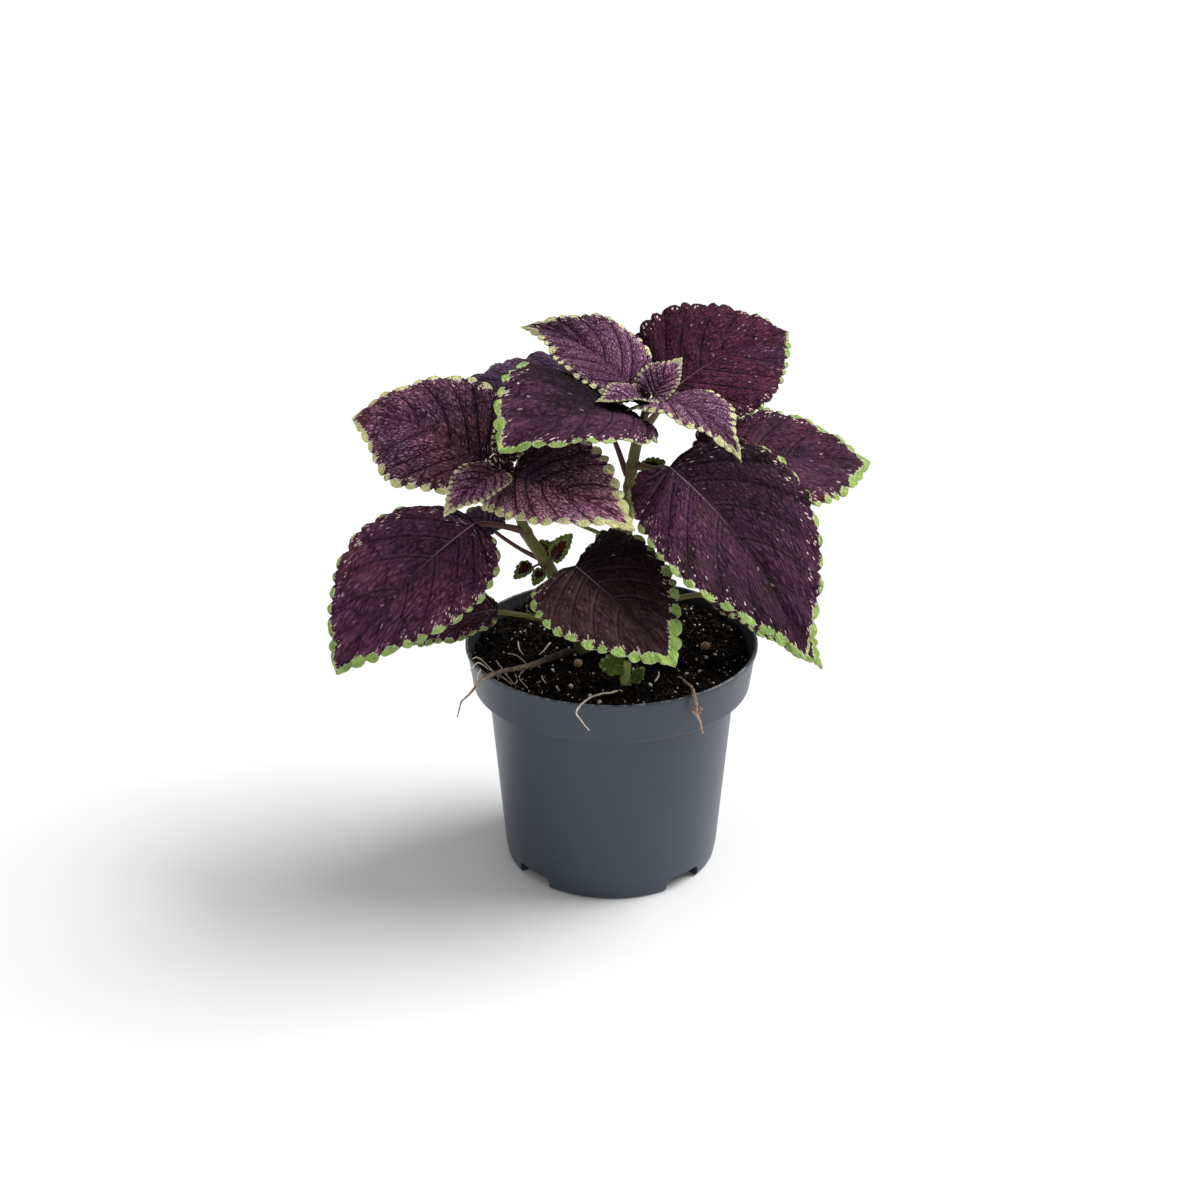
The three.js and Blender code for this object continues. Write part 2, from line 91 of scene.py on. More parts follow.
# A leaf of this length shows its relief in full; a shorter one less.
FULL_RELIEF_LENGTH = 45

# A stalk's thickness from the stem to its end under the blade, in shares of its radius, the sides of its tube,
# and its places under the blade: shares of the blade's length, with depths in shares of the stalk's radius.
STALK_TAPER = (1.35, 0.95, 0.85, 0.5, 0.36, 0.24, 0.08)
STALK_SIDES = 10
STALK_UNDER_BLADE = ((0.14, 0.6), (0.35, 0.36), (0.6, 0.22), (0.85, 0.08))


# ---- Small number tools ----
def unit(vectors):
    return vectors / np.linalg.norm(vectors, axis=-1, keepdims=True)


def smoothstep(low, high, value):
    share = np.clip((value - low) / (high - low), 0, 1)
    return share * share * (3 - 2 * share)


def spread(values, count):
    """The values spread evenly over that many places, with straight runs between them."""
    return np.interp(np.linspace(0, len(values) - 1, count), range(len(values)), values)


def arc_lengths(x, y):
    """How far along a flat line each of its points lies."""
    return np.concatenate([[0], np.cumsum(np.hypot(np.diff(x), np.diff(y)))])


def smooth_path(points, steps):
    """Evenly parted places along a centripetal Catmull-Rom curve through the points."""
    points = np.asarray(points, float)
    padded = np.vstack([2 * points[0] - points[1], points, 2 * points[-1] - points[-2]])
    knots = np.concatenate([[0], np.cumsum(np.linalg.norm(np.diff(padded, axis=0), axis=1) ** 0.5)])
    made = []
    for place in np.linspace(0, len(points) - 1, steps + 1):
        i = min(int(place), len(points) - 2)
        p, k = padded[i:i + 4], knots[i:i + 4]
        t = k[1] + (place - i) * (k[2] - k[1])
        a = [(p[j] * (k[j + 1] - t) + p[j + 1] * (t - k[j])) / (k[j + 1] - k[j]) for j in range(3)]
        b = [(a[j] * (k[j + 2] - t) + a[j + 1] * (t - k[j])) / (k[j + 2] - k[j]) for j in range(2)]
        made.append((b[0] * (k[2] - t) + b[1] * (t - k[1])) / (k[2] - k[1]))
    return np.array(made)


def cell_pattern(across, along, seed):
    """0 on the net between irregular cells and 1 at their middles."""
    jitter = np.random.default_rng(seed).random((64, 64, 2))
    column, row = np.floor(across).astype(int), np.floor(along).astype(int)
    nearest = np.full(across.shape, 9.0)
    second = np.full(across.shape, 9.0)
    for i in (-1, 0, 1):
        for j in (-1, 0, 1):
            centre = jitter[(column + i) % 64, (row + j) % 64]
            distance = np.hypot(column + i + centre[..., 0] - across, row + j + centre[..., 1] - along)
            second = np.minimum(second, np.maximum(nearest, distance))
            nearest = np.minimum(nearest, distance)
    return smoothstep(0, 0.6, second - nearest)


# ---- Meshes ----
class Shell:
    """Collects closed surfaces for one piece, with a value per point for each named attribute."""

    def __init__(self):
        self.points, self.faces, self.values, self.count = [], [], {}, 0

    def add(self, points, faces, **values):
        points = np.asarray(points, float).reshape(-1, 3)
        self.faces += [tuple(int(i) + self.count for i in face) for face in faces]
        self.points.append(points)
        for name, value in values.items():
            self.values.setdefault(name, []).append((self.count, np.asarray(value, float)))
        self.count += len(points)

    def piece(self, name, *materials, second_from=None):
        """The piece's object. Faces from second_from on get the second material."""
        mesh = bpy.data.meshes.new(name)
        mesh.from_pydata((np.vstack(self.points) * MM).tolist(), [], self.faces)
        for attribute_name, blocks in self.values.items():
            shape = blocks[0][1].shape[1:]
            filled = np.zeros((self.count,) + shape)
            for start, block in blocks:
                filled[start:start + len(block)] = block
            attribute = mesh.attributes.new(attribute_name, "FLOAT_VECTOR" if shape else "FLOAT", "POINT")
            attribute.data.foreach_set("vector" if shape else "value", filled.ravel())
        for material in materials:
            mesh.materials.append(material)
        if second_from is not None:
            slots = (np.arange(len(self.faces)) >= second_from).astype(np.int32)
            mesh.polygons.foreach_set("material_index", slots)
        mesh.polygons.foreach_set("use_smooth", np.ones(len(self.faces), bool))
        mesh.update()
        piece = bpy.data.objects.new(name, mesh)
        bpy.context.scene.collection.objects.link(piece)
        return piece


def grid_faces(rows, columns, wrap=False):
    """Four-sided faces over a grid of points; wrap closes it around its columns."""
    faces = []
    for i in range(rows - 1):
        for j in range(columns if wrap else columns - 1):
            k = (j + 1) % columns
            faces.append((i * columns + j, i * columns + k, (i + 1) * columns + k, (i + 1) * columns + j))
    return faces


def tube(centres, radii, sides, squareness=0.0):
    """A closed tube round a line of centres. squareness pulls its section towards a rounded square."""
    centres = np.asarray(centres, float)
    tangents = unit(np.gradient(centres, axis=0))
    start = np.cross(tangents[0], (0, 1, 0) if abs(tangents[0][1]) < 0.9 else (1, 0, 0))
    normals = [unit(start)]
    for tangent in tangents[1:]:
        normals.append(unit(normals[-1] - tangent * np.dot(normals[-1], tangent)))
    normals = np.array(normals)
    binormals = np.cross(tangents, normals)
    angle = np.arange(sides) * 2 * math.pi / sides
    reach = np.asarray(radii, float)[:, None] * (1 + squareness * np.cos(4 * angle))
    around = (
        normals[:, None, :] * (np.cos(angle) * reach)[..., None]
        + binormals[:, None, :] * (np.sin(angle) * reach)[..., None]
    )
    last = (len(centres) - 1) * sides
    faces = grid_faces(len(centres), sides, wrap=True)
    faces += [tuple(range(sides))[::-1], tuple(range(last, last + sides))]
    return (centres[:, None, :] + around).reshape(-1, 3), faces


def places_round(lengths, sides, girth, number):
    """For each point of a tube: how far along and round it lies, and the tube's own number."""
    around = np.tile(np.arange(sides) / sides * girth, len(lengths))
    return np.stack([np.repeat(lengths, sides), around, np.full(len(around), number)], axis=1)


def keep_result(piece):
    """Makes what the piece's modifiers show its plain mesh."""
    evaluated = piece.evaluated_get(bpy.context.evaluated_depsgraph_get())
    mesh = bpy.data.meshes.new_from_object(evaluated)
    piece.modifiers.clear()
    piece.data = mesh


def face_outwards(mesh):
    turned_mesh = bmesh.new()
    turned_mesh.from_mesh(mesh)
    bmesh.ops.recalc_face_normals(turned_mesh, faces=turned_mesh.faces)
    turned_mesh.to_mesh(mesh)
    turned_mesh.free()


def settle(piece, slot, *nodes):
    """Says which body the piece rides on and the CAD nodes that it stands for. The slot, its finish, is not
    used.
    """
    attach(piece, "root")
    if nodes:
        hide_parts(*nodes)


# ---- Shader tools ----
def srgb(red, green, blue):
    """A colour given as it looks on a screen, 0 to 255, as linear light."""
    def linear(value):
        value /= 255
        return value / 12.92 if value <= 0.04045 else ((value + 0.055) / 1.055) ** 2.4
    return (linear(red), linear(green), linear(blue), 1)


class Value:
    """A shader socket. Arithmetic on it adds Math nodes."""

    def __init__(self, shader, socket):
        self.shader, self.socket = shader, socket

    def math(self, operation, *values):
        return self.shader.node("ShaderNodeMath", {"operation": operation}, *values)

    def __add__(self, other):
        return self.math("ADD", self, other)

    def __sub__(self, other):
        return self.math("SUBTRACT", self, other)

    def __rsub__(self, other):
        return self.math("SUBTRACT", other, self)

    def __mul__(self, other):
        return self.math("MULTIPLY", self, other)

    __radd__ = __add__
    __rmul__ = __mul__

    def power(self, other):
        return self.math("POWER", self, other)

    def absolute(self):
        return self.math("ABSOLUTE", self)

    def step(self, low, high):
        """0 below low and 1 above high, smoothly; low may be the larger one."""
        settings = {"interpolation_type": "SMOOTHSTEP", "clamp": True}
        made = self.shader.node("ShaderNodeMapRange", settings, self, min(low, high), max(low, high), 0, 1)
        return 1 - made if low > high else made


class Shader:
    """A material's node tree, built by expressions."""

    def __init__(self, name):
        self.material = bpy.data.materials.new(name)
        self.material.use_nodes = True
        self.tree = self.material.node_tree
        self.tree.nodes.clear()

    def node(self, kind, settings, *values, output=0, **named):
        """Adds a node. Its settings are set first, then the values or links of its sockets."""
        made = self.tree.nodes.new(kind)
        for name, setting in settings.items():
            setattr(made, name, setting)
        for key, value in [*enumerate(values), *named.items()]:
            socket = made.inputs[key if isinstance(key, int) else key.replace("_", " ")]
            if isinstance(value, Value):
                self.tree.links.new(value.socket, socket)
            elif value is not None:
                socket.default_value = value
        return Value(self, made.outputs[output]) if made.outputs else made

    def vector_math(self, operation, *values, output=0, **named):
        return self.node("ShaderNodeVectorMath", {"operation": operation}, *values, output=output, **named)

    def attribute(self, name):
        """The number that the mesh holds under that name."""
        return self.node("ShaderNodeAttribute", {"attribute_name": name}, output=2)

    def vector_attribute(self, name):
        return self.node("ShaderNodeAttribute", {"attribute_name": name}, output=1)

    def place(self):
        """Where on the object a point lies, in metres."""
        return self.node("ShaderNodeTexCoord", {}, output=3)

    def split(self, vector):
        """The three numbers of a vector."""
        first = self.node("ShaderNodeSeparateXYZ", {}, vector)
        return [Value(self, output) for output in first.socket.node.outputs]

    def from_axis(self, place):
        """How far a place lies from the pot's axis."""
        return self.vector_math("LENGTH", self.vector_math("MULTIPLY", place, (1, 1, 0)), output=1)

    def stretched(self, place, scale):
        return self.node("ShaderNodeMapping", {}, place, (0, 0, 0), (0, 0, 0), scale)

    def wavering(self, place, scale, amount, guide, guide_scale):
        """A stretched place, moved about by a coloured noise over the guide."""
        colour = self.node("ShaderNodeTexNoise", {}, output=1, Vector=guide, Scale=guide_scale, Detail=2.0)
        centred = self.vector_math("SUBTRACT", colour, (0.5, 0.5, 0.5))
        moved = self.vector_math("SCALE", centred, Scale=amount)
        return self.vector_math("ADD", self.stretched(place, scale), moved)

    def noise(self, place, scale, detail=3.0, roughness=0.55):
        return self.node(
            "ShaderNodeTexNoise", {}, Vector=place, Scale=scale, Detail=detail, Roughness=roughness,
        )

    def cell_edge(self, place):
        """How far a place lies from the edge of its irregular cell. A cell is about 1 wide."""
        return self.node("ShaderNodeTexVoronoi", {"feature": "DISTANCE_TO_EDGE"}, Vector=place, Scale=1.0)

    def cell_middle(self, place):
        """How far a place lies from the middle of its irregular cell, and the cell's random number."""
        distance = self.node("ShaderNodeTexVoronoi", {}, Vector=place, Scale=1.0)
        return distance, self.split(Value(self, distance.socket.node.outputs[1]))[0]

    def mix(self, share, first, second):
        made = self.tree.nodes.new("ShaderNodeMix")
        made.data_type = "RGBA"
        for socket, value in ((0, share), (6, first), (7, second)):
            if isinstance(value, Value):
                self.tree.links.new(value.socket, made.inputs[socket])
            else:
                made.inputs[socket].default_value = value
        return Value(self, made.outputs[2])

    def bump(self, height, strength, distance):
        return self.node("ShaderNodeBump", {}, Strength=strength, Distance=distance, Height=height)

    def dimmed(self, colour, amount):
        """The colour times a number: darker under 1 and lighter above it."""
        return self.vector_math("SCALE", colour, Scale=amount)

    def finish(self, colour, roughness, normal=None, **constants):
        """The surface shader. Constants go on its own sockets."""
        surface = self.node(
            "ShaderNodeBsdfPrincipled", {}, Base_Color=colour, Roughness=roughness, Normal=normal,
            **constants,
        )
        self.node("ShaderNodeOutputMaterial", {}, surface)
        return self.material


# ---- Leaf materials ----
def leaf_material(name, look):
    """Leaf skin. Its colours follow the leaf: its teeth, its veins and the puckers between them.

    Of the look it takes the colours, the width and length of a pucker in metres, how strongly the puckers and
    the side veins show, how strong a painted sheen beside the veins lies, and how far in from the edge, in
    millimetres, and how thickly the pale spots lie. Raised puckers get a painted highlight, hollows and
    creases painted shade, and each leaf's shade attribute lays painted light and shade over it all.
    """
    colours = [srgb(*colour) for colour in look["colours"]]
    dark, warm, umber, painted_highlight, groove, rib, green, cream, fleck = colours
    width, length = look["pucker"]
    depth = look["pucker_depth"]
    s = Shader(name)
    flat = s.vector_attribute("flat")
    weave = s.vector_attribute("weave")
    warmth, paleness, brown = s.split(s.vector_attribute("tone"))
    beyond = s.attribute("beyond")
    vein_gap = s.attribute("vein_gap").absolute()
    rib_gap = s.attribute("rib_gap").absolute()
    row = s.attribute("row")

    # Puckers, the small wrinkles on them, and the coarser net that parts them.
    broad = s.noise(flat, 42.0, 2.0)
    mottle = s.noise(flat, 230.0, 4.0, 0.6)
    grain = s.noise(flat, 2200.0, 3.0, 0.6)
    pucker_place = s.wavering(weave, (1 / width, 1 / length, 1), 1.1, flat, 260.0)
    pucker = s.cell_edge(pucker_place)
    wrinkle = s.cell_edge(s.wavering(weave, (2 / width, 2 / length, 1), 1.3, flat, 600.0))
    dome = pucker.step(0.0, 0.4)
    small_dome = wrinkle.step(0.0, 0.35)
    broken = mottle.step(0.66, 0.44) * s.noise(flat, 110.0, 2.0).step(0.3, 0.55)
    crease = pucker.step(0.16, 0.04) * (broken * (1 - depth) + depth)
    net = s.cell_edge(s.wavering(weave, (0.42 / width, 0.46 / length, 1), 1.0, flat, 200.0))
    net = net.step(0.13, 0.02) * (broken * 0.6 + depth * 0.6)
    _, luck = s.cell_middle(pucker_place)
    fine_crease = wrinkle.step(0.1, 0.0) * mottle.step(0.4, 0.6)

    # The blade's field: a painted highlight where it is raised, painted shade in its hollows and creases.
    raised = s.attribute("quilt") * 0.5 + dome * depth * (0.6 + luck * 0.35) + mottle * (0.4 - 0.3 * depth)
    raised = raised + small_dome * 0.08 + grain * 0.08 + paleness + (broad - 0.5) * 0.5 - 0.1
    hollow = 0.4 + depth * 0.25
    field = s.mix((broad + warmth).step(0.4, 0.6), dark, warm)
    field = s.mix((s.noise(flat, 75.0, 3.0) + brown).step(0.62, 0.8), field, umber)
    field = s.mix(raised.step(hollow + 0.2, hollow - 0.4) * 0.5, field, groove)
    field = s.mix(raised.step(hollow, hollow + 0.95) * (0.85 - 0.15 * depth), field, painted_highlight)
    field = s.mix(crease * (0.5 + 0.4 * depth), field, groove)
    field = s.mix(fine_crease * 0.3, field, groove)
    field = s.mix(net * 0.75, field, groove)
    # The side veins are dark, partly their own colour and partly painted shade.
    side_vein = vein_gap.step(0.42, 0.12) * row.step(0.99, 0.8)
    field = s.mix(side_vein * look["vein_depth"], field, groove)
    # A pale band beside the side veins near the midrib: a painted sheen.
    painted_vein_sheen = (vein_gap - 0.9).absolute().step(0.7, 0.0) * rib_gap.step(24.0, 2.0) * row.step(0.95, 0.7)
    field = s.mix(painted_vein_sheen * look["painted_vein_sheen"], field, rib)
    fine_rib = rib_gap.step(0.34, 0.1) * row.step(0.85, 0.5)
    # Painted shade and painted light: the field times each leaf's shade attribute.
    field = s.dimmed(s.mix(fine_rib * 0.9, field, rib), s.attribute("shade"))

    # The green edge, frayed inwards, with a cream border between it and the field.
    fray = (s.noise(flat, 1500.0, 3.0, 0.7) - 0.5) * 1.6
    fray = fray + (s.noise(s.stretched(weave, (1000, 520, 1)), 1.0, 2.0) - 0.5) * 3.0
    inside = beyond + s.attribute("green_width") + fray
    margin = inside.step(-0.05, 0.12)
    deep_green = tuple(0.7 * part for part in green[:3]) + (1,)
    leafy_green = s.mix(mottle.step(0.62, 0.36) * 0.8, green, deep_green)
    # The green edge takes a weaker share of the same painted shade and painted light.
    leafy_green = s.dimmed(leafy_green, s.attribute("shade").power(0.2))
    colour = s.mix(margin, field, leafy_green)
    border = inside.absolute().step(0.55, 0.12) * s.noise(flat, 620.0, 2.0).step(0.42, 0.54)
    colour = s.mix(border * 0.9, colour, cream)

    # Pale spots, thickest near the crowns of the teeth.
    spot, luck = s.cell_middle(s.wavering(weave, (820, 460, 1), 0.5, flat, 900.0))
    near = beyond.step(-look["spot_reach"], -0.6) * beyond.step(2.4, 0.6)
    crown = s.attribute("crown").step(0.15, 0.6)
    wanted = near * near * look["spot_share"] * row.step(0.1, 0.5) * crown + near * 0.03 + 0.004
    spots = spot.step(0.42, 0.3) * (luck + wanted).step(0.98, 1.02)
    colour = s.mix(spots * (1 - margin) * 0.9, colour, fleck)
    colour = s.mix(s.attribute("rim") * 0.5, colour, cream)
    colour = s.mix(s.attribute("under") * 0.5, colour, srgb(98, 66, 66))

    roughness = 0.52 + grain * 0.12 - dome * 0.08
    height = dome * (0.2 + 0.8 * depth) + small_dome * 0.2 + mottle * 0.3 + grain * 0.12 - net * 0.5
    normal = s.bump(height - side_vein * 0.3, 0.9, 0.0008)
    return s.finish(colour, roughness, normal, Specular_IOR_Level=0.06)


# How far in the green runs, as places along the edge with millimetres, and how far apart its patches stand.
MATURE_MARGIN = dict(
    green=((0, 0.12, 0.35, 0.6, 0.8, 0.92, 1), (-4, -2.2, -1.3, -0.6, 0.3, 1.5, 2.8)),
    parting=((0, 0.5, 0.8, 0.94), (1.3, 1.25, 1.12, 0.35)),
)
YOUNG_MARGIN = dict(
    green=((0, 0.1, 0.5, 0.85, 1), (-0.8, 0.1, 0.4, 0.7, 1.8)), parting=((0, 0.8, 0.95), (1.25, 1.15, 0.3)),
)
# The colours, in this order: dark, warm, umber, bright, groove, rib, green, cream, fleck. bright is a painted
# highlight on raised puckers; groove is painted shade in hollows and creases, and the veins' own dark; rib is
# the midrib's own pale colour, also used for a painted sheen beside the veins.
# cell is the width of the quilting in millimetres; quilt, puff and groove are the heights of the relief.
LOOKS = {
    "mature": dict(
        colours=((86, 49, 74), (101, 51, 72), (65, 45, 45), (146, 116, 134), (24, 11, 16), (164, 138, 150),
                 (156, 186, 102), (218, 220, 176), (228, 202, 198)),
        pucker=(0.0036, 0.0025), pucker_depth=0.3, vein_depth=0.3, painted_vein_sheen=0.08, spot_reach=6.0, spot_share=0.5,
        slot="blade", cell=2.6, quilt=0.5, puff=0.5, groove=0.15, **MATURE_MARGIN,
    ),
    "wrinkled": dict(
        colours=((84, 45, 78), (106, 46, 74), (66, 38, 42), (142, 104, 130), (24, 11, 18), (164, 130, 150),
                 (156, 186, 102), (214, 216, 170), (226, 200, 196)),
        pucker=(0.0028, 0.0024), pucker_depth=0.4, vein_depth=0.4, painted_vein_sheen=0.05, spot_reach=4.0, spot_share=0.5,
        slot="blade", cell=2.4, quilt=0.5, puff=0.4, groove=0.15, **MATURE_MARGIN,
    ),
    "young": dict(
        colours=((136, 92, 123), (154, 98, 118), (104, 68, 70), (204, 180, 194), (36, 16, 26), (54, 26, 44),
                 (234, 232, 164), (252, 246, 216), (242, 220, 200)),
        pucker=(0.0015, 0.002), pucker_depth=0.75, vein_depth=0.95, painted_vein_sheen=0.0, spot_reach=4.0, spot_share=1.1,
        slot="young_blade", cell=1.4, quilt=0.25, puff=0.5, groove=0.25, **YOUNG_MARGIN,
    ),
    # shaded: greyer, dimmer leaf colours for leaves that lie in shadow: painted shade.
    "shaded": dict(
        colours=((66, 50, 68), (76, 52, 74), (58, 44, 48), (124, 108, 130), (28, 18, 30), (116, 100, 120),
                 (112, 142, 82), (184, 190, 150), (160, 150, 160)),
        pucker=(0.0022, 0.004), pucker_depth=0.3, vein_depth=0.3, painted_vein_sheen=0.1, spot_reach=5.0, spot_share=0.2,
        slot="shaded_blade", cell=2.6, quilt=0.5, puff=0.3, groove=0.15, **MATURE_MARGIN,
    ),
    "shoot": dict(
        colours=((80, 36, 34), (96, 40, 38), (62, 40, 26), (132, 96, 76), (34, 16, 14), (120, 90, 70),
                 (112, 134, 66), (168, 172, 110), (168, 172, 110)),
        pucker=(0.0014, 0.002), pucker_depth=0.4, vein_depth=0.5, painted_vein_sheen=0.0, spot_reach=2.0, spot_share=0.2,
        slot="young_blade", cell=2.0, quilt=0.3, puff=0.4, groove=0.3,
        green=((0, 0.3, 1), (-0.5, 0.6, 1.6)), parting=((0, 1), (0.5, 0.2)),
    ),
    "sprout": dict(
        colours=((118, 146, 58), (136, 158, 68), (108, 130, 52), (186, 204, 116), (92, 118, 46),
                 (196, 210, 136), (160, 190, 92), (214, 222, 160), (214, 222, 160)),
        pucker=(0.0018, 0.0026), pucker_depth=0.4, vein_depth=0.4, painted_vein_sheen=0.0, spot_reach=2.0, spot_share=0.1,
        slot="sprout", cell=2.0, quilt=0.2, puff=0.5, groove=0.4, green=((0, 1), (-4, 0)),
        parting=((0, 1), (0.5, 0.5)),
    ),
}
for look_name, leaf_look in LOOKS.items():
    leaf_look["material"] = leaf_material(look_name + "_leaf", leaf_look)


def stalk_material():
    """Leaf stalks: green on some leaves and purple-brown on others, streaked along their length."""
    s = Shader("stalk")
    streak = s.noise(s.stretched(s.vector_attribute("flat"), (12, 900, 1)), 1.0, 3.0)
    green = s.mix(streak, srgb(108, 110, 58), srgb(140, 138, 82))
    purple = s.mix(streak, srgb(84, 52, 56), srgb(112, 78, 72))
    colour = s.mix((s.attribute("tint") + (streak - 0.5) * 0.6).step(0.3, 0.7), green, purple)
    grain = s.noise(s.place(), 2600.0, 2.0)
    return s.finish(colour, 0.5 + grain * 0.1, s.bump(grain, 0.4, 0.0001), Specular_IOR_Level=0.35)


STALK = stalk_material()

# ---- Leaves ----
# node: where the stalk leaves the stem. base and tip: the midrib's ends. width: a share of the length. Angles
# are in degrees and the rest in millimetres. roll tilts the blade, fold bends its halves up, and open changes
# that from base to tip. arch, sway and skew bend the midrib. Pairs are for the two halves: lobe reaches back
# beside the stalk, full widens, and wide above 1 moves the widest place out. taper narrows the tip, hook
# bends it down, ripple waves the edge, and camber domes each half. stalk is the stalk's radius, rise lifts its
# middle, and tint is 0 for a green one. teeth: on each side. green: added to how far the green runs in. tone:
# warmth, paleness and brown; paleness also gives more painted highlight and less painted shade. light: painted
# shade and painted light, darker or lighter at the base and the tip of each half, for other leaves' shadows
# and
# sides turned from the lamp. fine: how small the puckers are.
LEAF_DEFAULTS = dict(
    roll=0, fold=10, open=(0, 0), arch=0, sway=0, skew=0, lobe=(0.05, 0.05), full=(1, 1), wide=(1, 1),
    taper=0, hook=0, ripple=0.7, camber=0.05, stalk=0.5, rise=0, tint=0.6, look="mature", slot=None, teeth=15,
    green=(0, 0), tone=(0, 0, 0), light=(0, 0, 0, 0), fine=1,
)
